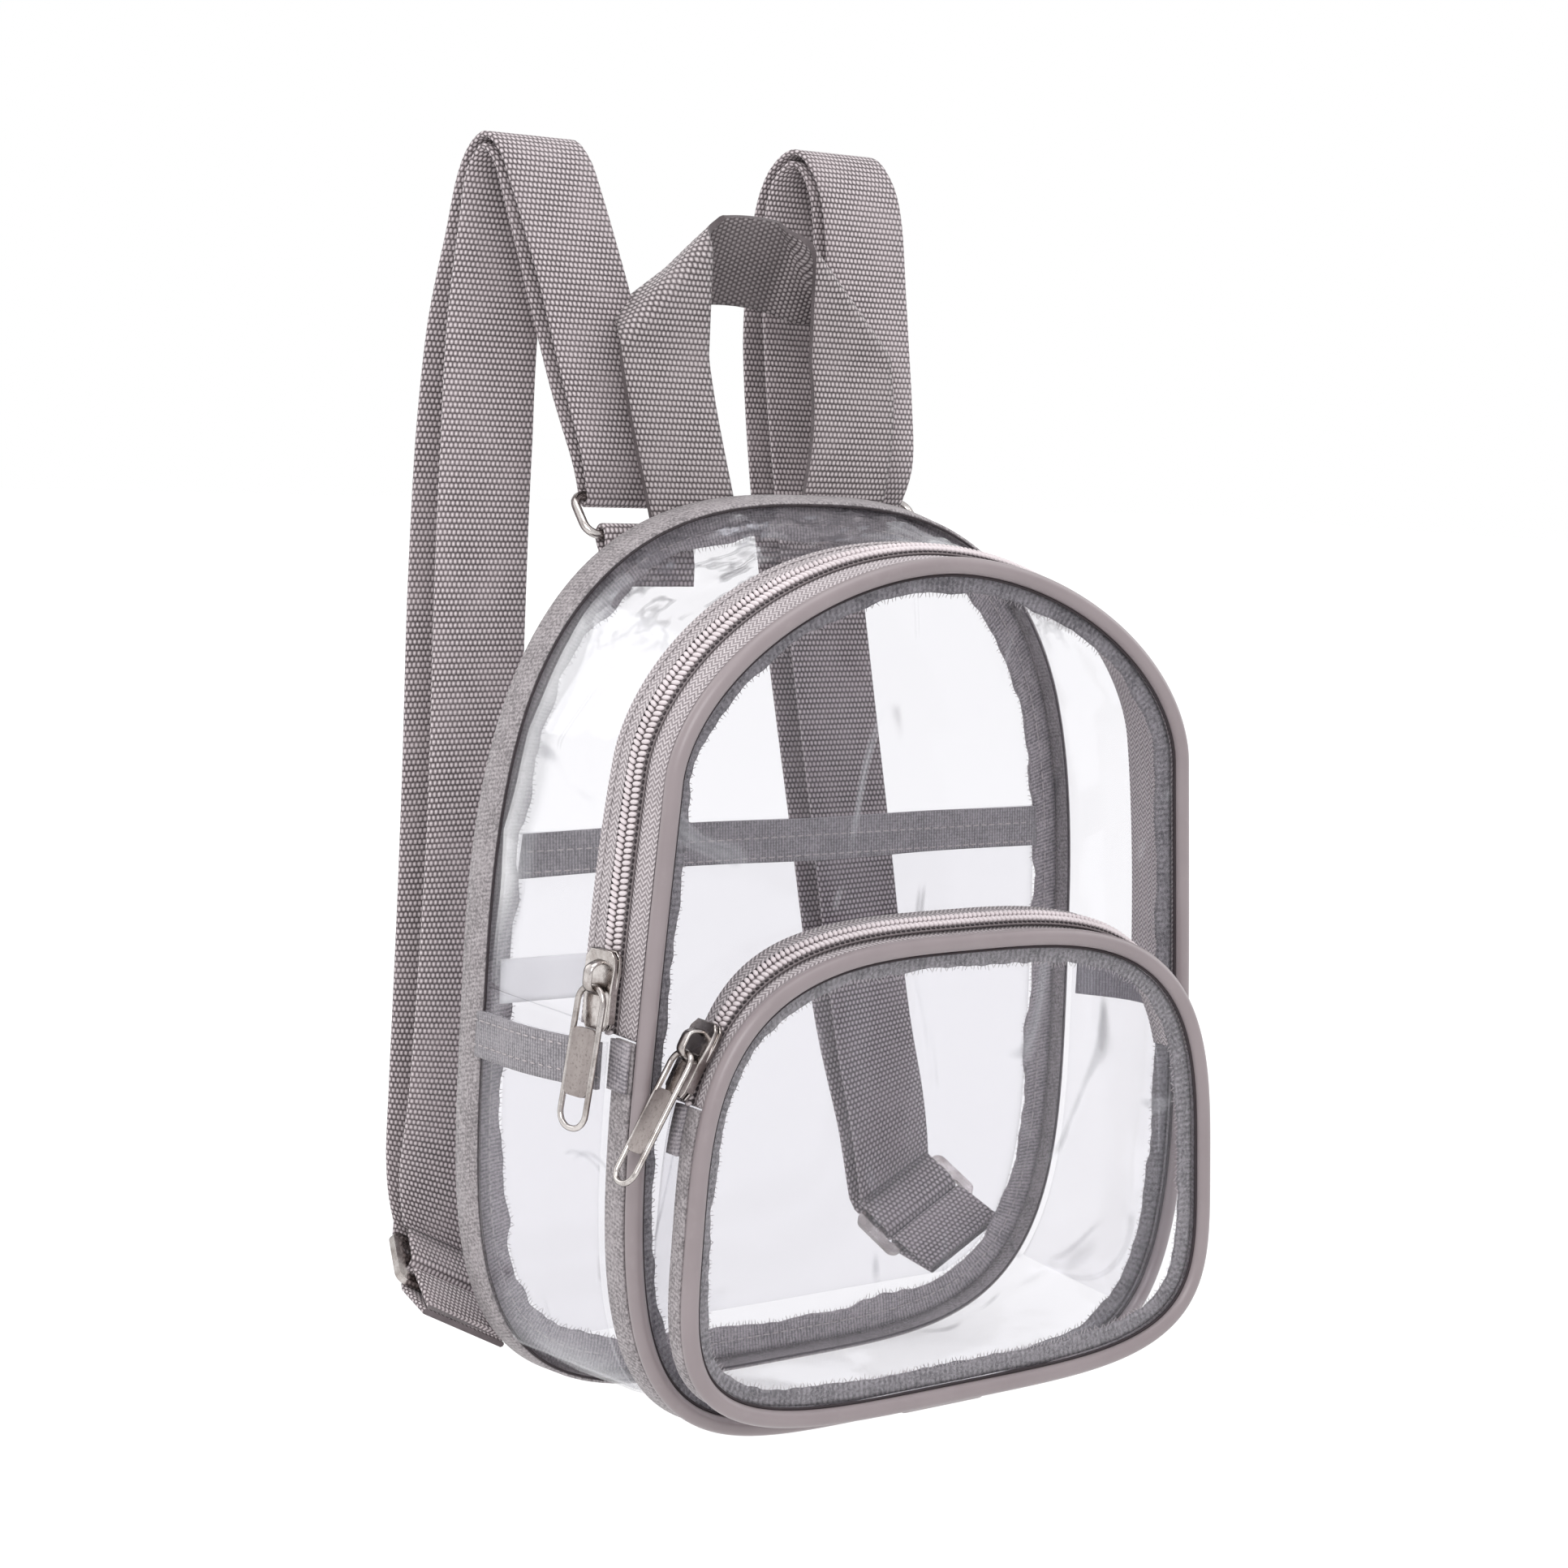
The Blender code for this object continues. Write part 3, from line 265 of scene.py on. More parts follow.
def finishWith(graph, values):
    shader = graph.add("ShaderNodeBsdfPrincipled", None, values)
    graph.add("ShaderNodeOutputMaterial", None, {"Surface": shader[0]})


# The underside of the handle's arch, where painted shade darkens its webbing, in the part's frame
archShade = {"low": -0.041, "high": -0.030, "middle": 0.0015, "inner": 0.0105, "outer": 0.0160}


def webbingFinish(name, look):
    # Rows of woven beads, each row half a bead along from the last.
    graph, place, along, across = newFinish(name)
    row = along / look["rowPitch"]
    rowProfile = graph.single("SINE", graph.single("FRACT", row) * math.pi)
    shift = graph.single("FRACT", graph.single("FLOOR", row) * 0.5)
    dots = graph.wave(across / look["beadPitch"] + shift)
    drift = graph.noise(place, 90, 4, 0.6)
    fibre = graph.noise(place, 2600, 2, 0.6)
    height = (rowProfile ** 0.55) * ((dots ** 0.55) * 0.72 + 0.28)
    tone = graph.ramp(height + (fibre - 0.5) * 0.35 + (drift - 0.5) * 0.25, 0.22, 0.90)
    # Painted shade darkens the grooves between beads; a painted highlight lightens the bead tops.
    colour = graph.blend(tone, look["groove"], look["yarn"])
    colour = graph.blend(graph.ramp(height + (fibre - 0.5) * 0.5, 0.78, 1.15) * 0.7, colour, look["glint"])
    colour = graph.blend(graph.ramp(drift, 0.35, 0.75) * 0.22, colour, look["shade"])
    spot = graph.parts(place)
    aside = graph.ramp(graph.single("ABSOLUTE", spot[0] - archShade["middle"]), archShade["inner"],
                       archShade["outer"])
    # Painted shade under the handle's arch, kept off the arch's sides
    dim = graph.ramp(spot[2], archShade["low"], archShade["high"]) * (1.0 - aside)
    colour = graph.blend(dim * look["dim"], colour, look["groove"])
    normal = graph.bump(height + fibre * 0.25, 0.0005, 0.85)
    finishWith(graph, {"Base Color": colour, "Roughness": 0.75 - tone * 0.15, "Normal": normal,
                       "Sheen Weight": 0.15, "Sheen Roughness": 0.4})


def ribFinish(name, look):
    graph, place, along, across = newFinish(name)
    slant = along / look["pitch"] + across / look["pitch"] * look["slant"]
    ribs = graph.wave(slant)
    weft = graph.wave(across / look["weft"])
    fibre = graph.noise(place, 1500, 3, 0.65)
    drift = graph.noise(place, 130, 3, 0.6)
    height = ribs * (0.55 + weft * 0.45) * look["ribs"] + 0.5 * (1.0 - look["ribs"])
    tone = graph.ramp(height + (fibre - 0.5) * look["mottle"] + (drift - 0.5) * 0.6, 0.0, 1.0)
    # Painted shade darkens the low parts between the ribs; the mottle and drift are random tone.
    colour = graph.blend(tone, look["groove"], look["yarn"])
    colour = graph.blend(graph.ramp(drift, 0.45, 0.8) * 0.35, colour, look["shade"])
    normal = graph.bump(height + fibre * 0.3, 0.00035, 0.8)
    finishWith(graph, {"Base Color": colour, "Roughness": 0.8 - tone * 0.12, "Normal": normal,
                       "Sheen Weight": 0.1})


def herringboneFinish(name, look):
    graph, place, along, across = newFinish(name)
    zig = graph.single("ABSOLUTE", graph.single("FRACT", across / look["panel"]) - 0.5) * 2.0
    twill = graph.wave(along / look["pitch"] + zig * look["lean"])
    beads = graph.wave(along / look["pitch"] - zig * look["lean"])
    fibre = graph.noise(place, 2400, 2, 0.6)
    drift = graph.noise(place, 110, 3, 0.6)
    height = twill * 0.6 + twill * beads * 0.4
    tone = graph.ramp(height + (fibre - 0.5) * 0.7 + (drift - 0.5) * 0.3, 0.0, 0.95)
    # Painted shade darkens the grooves of the twill.
    colour = graph.blend(tone, look["groove"], look["yarn"])
    normal = graph.bump(height + fibre * 0.3, 0.0003, 0.8)
    finishWith(graph, {"Base Color": colour, "Roughness": 0.78 - tone * 0.12, "Normal": normal,
                       "Sheen Weight": 0.1})


def smoothFinish(name, look):
    graph, place, _, _ = newFinish(name)
    drift = graph.noise(place, 45, 4, 0.6)
    grain = graph.noise(place, 900, 3, 0.55)
    colour = graph.blend(graph.ramp(drift, 0.3, 0.75) * 0.6, look["colour"], look["shade"])
    scuff = graph.ramp(graph.noise(place, 260, 5, 0.7), 0.56, 0.72)
    colour = graph.blend(scuff * 0.12, colour, look["scuff"])
    normal = graph.bump(grain * 0.6 + drift, look["bump"], 0.5)
    finishWith(graph, {"Base Color": colour, "Roughness": look["rough"] + scuff * 0.12 + grain * 0.05,
                       "Normal": normal, "Specular IOR Level": look["shine"]})


def metalFinish(name, look):
    graph, place, _, _ = newFinish(name)
    drift = graph.noise(place, 160, 4, 0.6)
    speck = graph.noise(place, 1500, 3, 0.65)
    streak = graph.noise(graph.stretched(place, look["stretch"]), 700, 3, 0.6)
    colour = graph.blend(graph.ramp(drift, 0.35, 0.7), look["bright"], look["warm"])
    colour = graph.blend(graph.ramp(speck, 0.52, 0.72) * look["pitted"], colour, look["dark"])
    # Painted dark reflection: the colour darkens where the surface turns away from the view.
    turned = graph.ramp(graph.add("ShaderNodeLayerWeight", None, {"Blend": 0.5})[1], 0.30, 0.85)
    colour = graph.blend(turned * look["edge"], colour, look["dark"])
    rough = look["rough"] + graph.ramp(streak, 0.35, 0.7) * look["worn"]
    normal = graph.bump(speck + streak * 0.6, look["bump"], 0.6)
    finishWith(graph, {"Base Color": colour, "Metallic": 1.0, "Roughness": rough, "Normal": normal})


# Where a painted white reflection lies on the side film by the back seam, as lowest and highest places in the part's
# frame
seamReflectionArea = {"y": (-0.056, -0.043), "x": (-0.062, -0.035), "zLow": (-0.205, -0.165), "zHigh": (-0.108, -0.088)}
glint = (0.97, 0.97, 0.985)


def filmFinish(name, look):
    # Thin clear film: folds and creases show as fine lines of painted shade and painted white highlights, a painted
    # white reflection lies by the back seam, and the rest stays clear.
    graph, place, _, _ = newFinish(name)
    broad = graph.noise(graph.stretched(place, look["stretch"]), 28, 3, 0.5)
    fine = graph.noise(place, 140, 3, 0.55)
    normal = graph.bump(broad, look["broad"], 1.0)
    normal = graph.bump(fine, look["fine"], 0.6, normal)
    haze = graph.ramp(graph.noise(place, 60, 5, 0.65), 0.5, 0.85) * look["patchy"] + look["haze"]
    wander = graph.noise(graph.stretched(place, (1, 1, 0.35)), look["lineScale"], 1, 0.4)
    broken = graph.ramp(graph.noise(place, 34, 2, 0.5), 0.50, 0.60)
    # Wandering lines of painted shade, as at creases
    line = graph.near(wander, 0.5, look["lineWide"]) * broken
    gleam = graph.noise(graph.stretched(place, (1, 1, 0.5)), look["gleamScale"], 2, 0.5)
    spots = graph.ramp(graph.noise(place, 26, 2, 0.5), 0.56, 0.66)
    # Painted white highlights in broken streaks
    white = graph.near(gleam, 0.47, look["gleamWide"]) * spots * look["white"]
    spot = graph.parts(place)
    top = graph.ramp(spot[2], look["crumpleFrom"], look["crumpleFrom"] + 0.022)
    crease = graph.noise(graph.stretched(place, (0.55, 1.0, 1.0)), 75, 3, 0.6)
    # Painted shade in the crumpled folds at the top
    dark = graph.near(crease, 0.52, 0.045) * top
    # Painted highlight on the crumpled top
    crumpleHighlight = graph.ramp(crease, 0.56, 0.66) * top
    # Painted white reflection on the side film by the back seam
    cloud = graph.ramp(spot[1], *seamReflectionArea["y"]) * (1.0 - graph.ramp(spot[0], *seamReflectionArea["x"]))
    cloud = cloud * graph.ramp(spot[2], *seamReflectionArea["zLow"]) * (1.0 - graph.ramp(spot[2], *seamReflectionArea["zHigh"]))
    cloud = cloud * (graph.noise(place, 55, 3, 0.6) * 0.6 + 0.5) * look["cloud"]
    line = line * look["line"]
    tone = graph.blend(white + crumpleHighlight + cloud * 2.0, look["mark"], glint)
    marked = graph.ramp(line + dark + white + crumpleHighlight + cloud, 0.02, 0.2)
    colour = graph.blend(marked, look["veil"], tone)
    facing = graph.add("ShaderNodeLayerWeight", None, {"Blend": 0.5})[1]
    shine = graph.add("ShaderNodeBsdfPrincipled", None, {
        "Base Color": colour, "Roughness": look["rough"], "Metallic": look["mirror"],
        "Specular IOR Level": 0.5, "Normal": normal})
    clear = graph.add("ShaderNodeBsdfTransparent", None, {"Color": look["tint"]})
    share = facing ** 4 * look["gloss"] + haze + line + dark * 0.34 + white + crumpleHighlight * 0.5 + cloud
    mixed = graph.add("ShaderNodeMixShader", None, {0: share, 1: clear[0], 2: shine[0]})
    graph.add("ShaderNodeOutputMaterial", None, {"Surface": mixed[0]})


webbingLook = {"rowPitch": 0.00138, "beadPitch": 0.00124, "groove": (0.070, 0.055, 0.058),
               "yarn": (0.46, 0.405, 0.412), "glint": (0.82, 0.77, 0.78), "shade": (0.31, 0.265, 0.275), "dim": 0.0}
# The straps' webbing is a lighter copy of the handle's webbing: painted light.
webbingFinish("webbing", {**webbingLook, "groove": (0.095, 0.076, 0.081), "yarn": (0.565, 0.495, 0.51),
                          "glint": (0.92, 0.86, 0.88), "shade": (0.40, 0.34, 0.355)})
# The handle's webbing, with painted shade under its arch
webbingFinish("handleWebbing", {**webbingLook, "dim": 0.55})
ribFinish("bindingRib", {"pitch": 0.00105, "slant": 0.35, "weft": 0.0009, "groove": (0.15, 0.135, 0.14),
                         "yarn": (0.45, 0.41, 0.42), "shade": (0.26, 0.235, 0.245), "ribs": 0.25, "mottle": 2.1})
ribFinish("flangeRib", {"pitch": 0.00095, "slant": 0.12, "weft": 0.0008, "groove": (0.13, 0.12, 0.135),
                        "yarn": (0.47, 0.43, 0.455), "shade": (0.27, 0.245, 0.265), "ribs": 0.45, "mottle": 1.5})
ribFinish("frontFlangeRib", {"pitch": 0.00150, "slant": 0.0, "weft": 0.0030, "groove": (0.075, 0.07, 0.078),
                             "yarn": (0.33, 0.31, 0.33), "shade": (0.18, 0.168, 0.182), "ribs": 0.25,
                             "mottle": 1.6})
ribFinish("bandRib", {"pitch": 0.00085, "slant": 0.05, "weft": 0.00075, "groove": (0.15, 0.142, 0.155),
                      "yarn": (0.40, 0.375, 0.40), "shade": (0.24, 0.225, 0.245), "ribs": 0.55, "mottle": 1.4})
herringboneFinish("zipTape", {"pitch": 0.00125, "panel": 0.0021, "lean": 0.9, "groove": (0.27, 0.235, 0.245),
                              "yarn": (0.68, 0.62, 0.635)})
smoothFinish("piping", {"colour": (0.275, 0.232, 0.240), "shade": (0.225, 0.188, 0.195), "scuff": (0.38, 0.34, 0.34),
                        "bump": 0.00006, "rough": 0.30, "shine": 0.55})
smoothFinish("zipCoil", {"colour": (0.72, 0.65, 0.665), "shade": (0.56, 0.50, 0.51), "scuff": (0.88, 0.83, 0.84),
                         "bump": 0.00003, "rough": 0.34, "shine": 0.6})
smoothFinish("chainCloth", {"colour": (0.23, 0.20, 0.205), "shade": (0.17, 0.145, 0.15), "scuff": (0.36, 0.32, 0.33),
                            "bump": 0.00006, "rough": 0.75, "shine": 0.2})
smoothFinish("thread", {"colour": (0.46, 0.42, 0.43), "shade": (0.33, 0.30, 0.31), "scuff": (0.65, 0.6, 0.6),
                        "bump": 0.00004, "rough": 0.6, "shine": 0.35})
smoothFinish("tagCloth", {"colour": (0.93, 0.93, 0.95), "shade": (0.86, 0.86, 0.89), "scuff": (0.97, 0.97, 0.98),
                          "bump": 0.00005, "rough": 0.55, "shine": 0.3})
# Near-black painted shade, for the dark lines at the piping and the dashes beside the zip coils
smoothFinish("chainShadow", {"colour": (0.045, 0.036, 0.040), "shade": (0.03, 0.024, 0.026),
                             "scuff": (0.12, 0.10, 0.11), "bump": 0.00005, "rough": 0.8, "shine": 0.2})
metalFinish("nickel", {"bright": (0.66, 0.62, 0.60), "warm": (0.36, 0.32, 0.30), "dark": (0.075, 0.062, 0.056),
                       "pitted": 0.25, "edge": 0.85, "rough": 0.14, "worn": 0.14, "bump": 0.00003,
                       "stretch": (1, 1, 1)})
metalFinish("brushedNickel", {"bright": (0.40, 0.355, 0.34), "warm": (0.31, 0.27, 0.26), "dark": (0.13, 0.11, 0.105),
                              "pitted": 0.6, "edge": 0.5, "rough": 0.36, "worn": 0.14, "bump": 0.00008,
                              "stretch": (1, 1, 0.08)})
filmLook = {"stretch": (1, 1, 0.45), "broad": 0.0007, "fine": 0.00002, "patchy": 0.010, "haze": 0.011,
            "veil": (0.88, 0.885, 0.92), "rough": 0.06, "mirror": 0.8, "gloss": 0.32, "tint": (0.952, 0.950, 0.957),
            "lineScale": 8, "lineWide": 0.0030, "line": 0.10, "gleamScale": 11, "gleamWide": 0.010, "white": 0.32,
            "mark": (0.20, 0.20, 0.225), "crumpleFrom": 0.1, "cloud": 0.0}
filmFinish("film", filmLook)
# outerFilm and slackFilm are copies of the same film; their lighter tints are painted light.
filmFinish("outerFilm", {**filmLook, "tint": (0.995, 0.994, 0.996), "haze": 0.020})
filmFinish("slackFilm", {**filmLook, "tint": (0.970, 0.968, 0.973), "mark": (0.33, 0.33, 0.36), "broad": 0.0018,
                         "fine": 0.00004, "patchy": 0.022, "haze": 0.022, "lineScale": 10, "line": 0.14,
                         "crumpleFrom": -0.118, "cloud": 0.6})
print("finishes made")


# Building meshes


def linked(name, data):
    piece = bpy.data.objects.new(name, data)
    bpy.context.scene.collection.objects.link(piece)
    return piece


def evaluatedMesh(helper):
    # The mesh that a helper object gives, which then goes
    bpy.context.view_layer.update()
    mesh = bpy.data.meshes.new_from_object(helper.evaluated_get(bpy.context.evaluated_depsgraph_get()))
    bpy.data.objects.remove(helper, do_unlink=True)
    return mesh


def recalculated(mesh):
    work = bmesh.new()
    work.from_mesh(mesh)
    bmesh.ops.recalc_face_normals(work, faces=work.faces)
    work.to_mesh(mesh)
    work.free()


def addMesh(name, points, faces, coordinates, finish, flat=()):
    mesh = bpy.data.meshes.new(name)
    mesh.from_pydata((np.asarray(points) - hangPoint).tolist(), [], faces)
    layer = mesh.uv_layers.new(name="run")
    layer.data.foreach_set("uv", np.asarray(coordinates, np.float32).ravel())
    smooth = np.ones(len(faces), bool)
    smooth[list(flat)] = False
    mesh.polygons.foreach_set("use_smooth", smooth)
    recalculated(mesh)
    mesh.materials.append(finishes[finish])
    return linked(name, mesh)


def quads(rows, columns, wrapRows, wrapColumns):
    i = np.arange(rows if wrapRows else rows - 1)
    j = np.arange(columns if wrapColumns else columns - 1)
    i, j = np.meshgrid(i, j, indexing="ij")
    nextI, nextJ = (i + 1) % rows, (j + 1) % columns
    faces = np.stack((i * columns + j, i * columns + nextJ, nextI * columns + nextJ, nextI * columns + j), -1)
    return faces.reshape(-1, 4).tolist(), i.ravel(), j.ravel()


def cornerRuns(along, across, i, j):
    # How far along and across each corner of each quad lies
    return np.stack((np.stack((along[i], along[i], along[i + 1], along[i + 1]), -1),
                     np.stack((across[j], across[j + 1], across[j + 1], across[j]), -1)), -1).reshape(-1, 4, 2)


def runs(points, wrap):
    steps = np.linalg.norm(np.diff(points, axis=0), axis=-1)
    if wrap:
        steps = np.append(steps, np.linalg.norm(points[0] - points[-1]))
    return np.concatenate(([0], np.cumsum(steps)))


def loftPiece(name, sections, finish, wrap=False):
    sections = np.asarray(sections)
    rows, corners = sections.shape[:2]
    faces, i, j = quads(rows, corners, wrap, True)
    along = runs(sections.mean(1), wrap)
    if not wrap:
        along = np.append(along, along[-1])
    across = runs(sections[rows // 2], True)
    coordinates = cornerRuns(along, across, i, j).reshape(-1, 2).tolist()
    flat = []
    if not wrap:
        for row in (0, rows - 1):
            flat.append(len(faces))
            faces.append([row * corners + corner for corner in range(corners)])
            coordinates += [(along[row], value) for value in across[:-1]]
    return addMesh(name, sections.reshape(-1, 3), faces, coordinates, finish, flat)


def gridNormals(grid, wrap):
    if wrap:
        down = np.roll(grid, -1, 0) - np.roll(grid, 1, 0)
    else:
        down = np.gradient(grid, axis=0)
    normal = np.cross(down, np.gradient(grid, axis=1))
    return normal / np.maximum(length(normal), 1e-12)


def shellPiece(name, grid, thickness, finish, wrap=False, coordinates=None):
    # A thin closed wall on a grid of points
    grid = np.asarray(grid, float)
    rows, columns = grid.shape[:2]
    normal = gridNormals(grid, wrap)
    upper = grid + normal * thickness * 0.5
    lower = grid - normal * thickness * 0.5
    count = rows * columns
    points = np.concatenate((upper.reshape(-1, 3), lower.reshape(-1, 3)))
    top, i, j = quads(rows, columns, wrap, False)
    if coordinates is None:
        along = runs(grid[:, columns // 2], wrap)
        along = along if wrap else np.append(along, along[-1])
        across = runs(grid[rows // 2], False)
        across = np.append(across, across[-1])
        one = cornerRuns(along, across, i, j)
    else:
        one = np.asarray(coordinates, float).reshape(-1, 2)[np.asarray(top)]
    bottom = [[face[3] + count, face[2] + count, face[1] + count, face[0] + count] for face in top]
    faces = top + bottom
    uv = [one.reshape(-1, 2), one[:, ::-1].reshape(-1, 2)]
    rims = []
    spans = range(rows if wrap else rows - 1)
    for row in spans:
        after = (row + 1) % rows
        for column in (0, columns - 1):
            rims.append((row * columns + column, after * columns + column))
    if not wrap:
        for row in (0, rows - 1):
            rims += [(row * columns + column, row * columns + column + 1) for column in range(columns - 1)]
    flat = list(range(len(faces), len(faces) + len(rims)))
    faces = faces + [[a, b, b + count, a + count] for a, b in rims]
    uv.append(np.zeros((len(rims) * 4, 2)))
    return addMesh(name, points, faces, np.concatenate(uv), finish, flat)


def discPiece(name, rim, centre, rings, thickness, finish, lift):
    # A thin closed panel inside a rim; lift(points, inward) gives each point's move, and inward is 0 at the rim.
    rim = np.asarray(rim)
    count = len(rim)
    shares = np.linspace(1, 0, rings + 1)[:-1]
    grid = centre + (rim[None] - centre) * shares[:, None, None]
    inward = np.broadcast_to(1 - shares[:, None], grid.shape[:2])
    grid = grid + lift(grid, inward)
    middle = centre + lift(np.array([[centre]]), np.ones((1, 1)))[0, 0]
    normal = gridNormals(np.swapaxes(grid, 0, 1), True)
    normal = np.swapaxes(normal, 0, 1)
    middleNormal = normal[-1].mean(0)
    surfaces = []
    for side in (0.5, -0.5):
        surfaces += [(grid + normal * thickness * side).reshape(-1, 3), [middle + middleNormal * thickness * side]]
    points = np.concatenate(surfaces)
    one = rings * count + 1
    top, _, _ = quads(rings, count, False, True)
    last = (rings - 1) * count
    top += [[last + index, last + (index + 1) % count, one - 1] for index in range(count)]
    bottom = [[corner + one for corner in face[::-1]] for face in top]
    rims = [[index, (index + 1) % count, (index + 1) % count + one, index + one] for index in range(count)]
    faces = top + bottom + rims
    flatPoints = points[:, (0, 2)]
    coordinates = np.concatenate([flatPoints[face] for face in faces])
    return addMesh(name, points, faces, coordinates, finish, range(len(top) * 2, len(faces)))


def tubePiece(name, path, radius, finish, reference, wrap=False, sides=14, squash=1.0):
    path = np.asarray(path, float)
    reference = np.broadcast_to(np.asarray(reference, float), path.shape)
    if wrap:
        along = np.roll(path, -1, 0) - np.roll(path, 1, 0)
    else:
        along = np.gradient(path, axis=0)
    along = unit(along)
    first = reference - along * (reference * along).sum(-1, keepdims=True)
    first = unit(first)
    second = np.cross(along, first)
    angle = np.arange(sides) / sides * 2 * math.pi
    radius = np.broadcast_to(np.asarray(radius, float), len(path))[:, None, None]
    sections = path[:, None] + radius * (
        first[:, None] * np.cos(angle)[None, :, None] * squash + second[:, None] * np.sin(angle)[None, :, None])
    return loftPiece(name, sections, finish, wrap)


def noiseAt(points, scale, seed):
    flat = np.asarray(points).reshape(-1, 3) * scale + np.array([seed * 7.31, seed * 3.17, seed * 5.53])
    return np.array([noise.noise(Vector(point)) for point in flat]).reshape(np.asarray(points).shape[:-1])


def ridgeAt(points, scale, seed):
    return 1 - np.abs(noiseAt(points, scale, seed)) * 2


def place(piece, ridesOn, slot, *nodes):
    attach(piece, ridesOn)
    if nodes:
        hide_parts(*nodes)
    return piece


# Rows of small repeats along a seam, a chain or a fringe


def beadTree():
    tree = bpy.data.node_groups.new("beadRow", "GeometryNodeTree")
    graph = Graph(tree)
    tree.interface.new_socket("Geometry", in_out="INPUT", socket_type="NodeSocketGeometry")
    for label, start in (("Long", 0.002), ("Wide", 0.0005), ("High", 0.0004), ("Turn", 0.0), ("Loose", 0.0)):
        tree.interface.new_socket(label, in_out="INPUT", socket_type="NodeSocketFloat").default_value = start
    tree.interface.new_socket("Finish", in_out="INPUT", socket_type="NodeSocketMaterial")
    tree.interface.new_socket("Geometry", in_out="OUTPUT", socket_type="NodeSocketGeometry")
    entry = graph.add("NodeGroupInput")
    size = graph.add("ShaderNodeCombineXYZ", None, {0: entry["Long"], 1: entry["Wide"], 2: entry["High"]})
    ball = graph.add("GeometryNodeMeshUVSphere", None, {"Segments": 8, "Rings": 5, "Radius": 0.5})
    bead = graph.add("GeometryNodeTransform", None, {"Geometry": ball["Mesh"], "Scale": size[0]})
    soft = graph.add("GeometryNodeSetShadeSmooth", None, {"Geometry": bead[0]})
    along = graph.add("GeometryNodeInputNamedAttribute", {"data_type": "FLOAT_VECTOR"}, {"Name": "along"})
    out = graph.add("GeometryNodeInputNamedAttribute", {"data_type": "FLOAT_VECTOR"}, {"Name": "out"})
    facing = graph.add("FunctionNodeAlignRotationToVector", {"axis": "Z"}, {"Vector": out["Attribute"]})
    running = graph.add("FunctionNodeAlignRotationToVector", {"axis": "X", "pivot_axis": "Z"},
                        {"Rotation": facing[0], "Vector": along["Attribute"]})
    loose = graph.add("FunctionNodeRandomValue", {"data_type": "FLOAT"}, {"Min": -1.0, "Max": 1.0, "Seed": 11})
    swing = graph.add("ShaderNodeMath", {"operation": "MULTIPLY_ADD"},
                      {0: loose["Value"], 1: entry["Loose"], 2: entry["Turn"]})
    twist = graph.add("FunctionNodeAxisAngleToRotation", None, {"Axis": (0, 0, 1), "Angle": swing[0]})
    turned = graph.add("FunctionNodeRotateRotation", {"rotation_space": "LOCAL"},
                       {"Rotation": running[0], "Rotate By": twist[0]})
    dots = graph.add("GeometryNodeMeshToPoints", None, {"Mesh": entry["Geometry"]})
    copies = graph.add("GeometryNodeInstanceOnPoints", None,
                       {"Points": dots[0], "Instance": soft[0], "Rotation": turned[0]})
    real = graph.add("GeometryNodeRealizeInstances", None, {"Geometry": copies[0]})
    painted = graph.add("GeometryNodeSetMaterial", None, {"Geometry": real[0], "Material": entry["Finish"]})
    graph.add("NodeGroupOutput", None, {0: painted[0]})
    return tree


beadRow = beadTree()


def beadPiece(name, points, along, out, size, finish, turn=0.0, loose=0.0):
    guide = bpy.data.meshes.new(name + "Guide")
    guide.from_pydata((np.asarray(points) - hangPoint).tolist(), [], [])
    for label, rows in (("along", along), ("out", out)):
        values = guide.attributes.new(label, "FLOAT_VECTOR", "POINT")
        values.data.foreach_set("vector", np.asarray(rows, np.float32).ravel())
    helper = linked(name + "Guide", guide)
    nodes = helper.modifiers.new("beads", "NODES")
    nodes.node_group = beadRow
    inputs = {"Long": size[0], "Wide": size[1], "High": size[2], "Turn": turn, "Loose": loose,
              "Finish": finishes[finish]}
    for item in beadRow.interface.items_tree:
        if item.in_out == "INPUT" and item.name in inputs:
            nodes[item.identifier] = inputs[item.name]
    mesh = evaluatedMesh(helper)
    mesh.name = name
    if not mesh.materials:
        mesh.materials.append(finishes[finish])
    return linked(name, mesh)


def seamPoints(reader, start, end, pitch):
    # Points a fixed distance apart along reader(shares), with their directions.
    shares = np.linspace(start, end, 1500)
    path = reader(shares)
    along = runs(path, False)
    count = max(2, int(along[-1] / pitch))
    want = (np.arange(count) + 0.5) * along[-1] / count
    shares = np.interp(want, along, shares)
    points = reader(shares)
    ahead = reader(shares + 0.0008) - reader(shares - 0.0008)
    return shares, points, unit(ahead)


stitchSize = (0.0022, 0.00042, 0.00036)
stitchPitch = 0.0027
inwardFace = (0.0, -1.0, 0.0)


def gussetStitches(name, start, end, forward, out):
    shares, points, along = seamPoints(lambda s: gussetAt(s, forward, out), start, end, stitchPitch)
    normal = gussetAt(shares, forward, out + 0.001) - points
    return beadPiece(name, points, along, unit(normal), stitchSize, "thread", 0.0, 0.12)


def stitchRow(name, points, along, facing):
    stitches = beadPiece(name, points, along, np.broadcast_to(facing, points.shape), stitchSize, "thread")
    return place(stitches, "bag", "binding")


# Clear film: the back and front panels, the gusset round them, and the pockets

seamOut = film + clearance
mainZip = {"width": 0.019, "end": 0.0985, "slider": 0.108, "chain": 0.0065}
gussetFront = body["depth"] - body["pipingRadius"] - clearance
zipBack = gussetFront - mainZip["width"]
chainMiddle = (zipBack + gussetFront) / 2
mainShare = frontOutline.shareAt(mainZip["end"])
filmWall = 0.0005

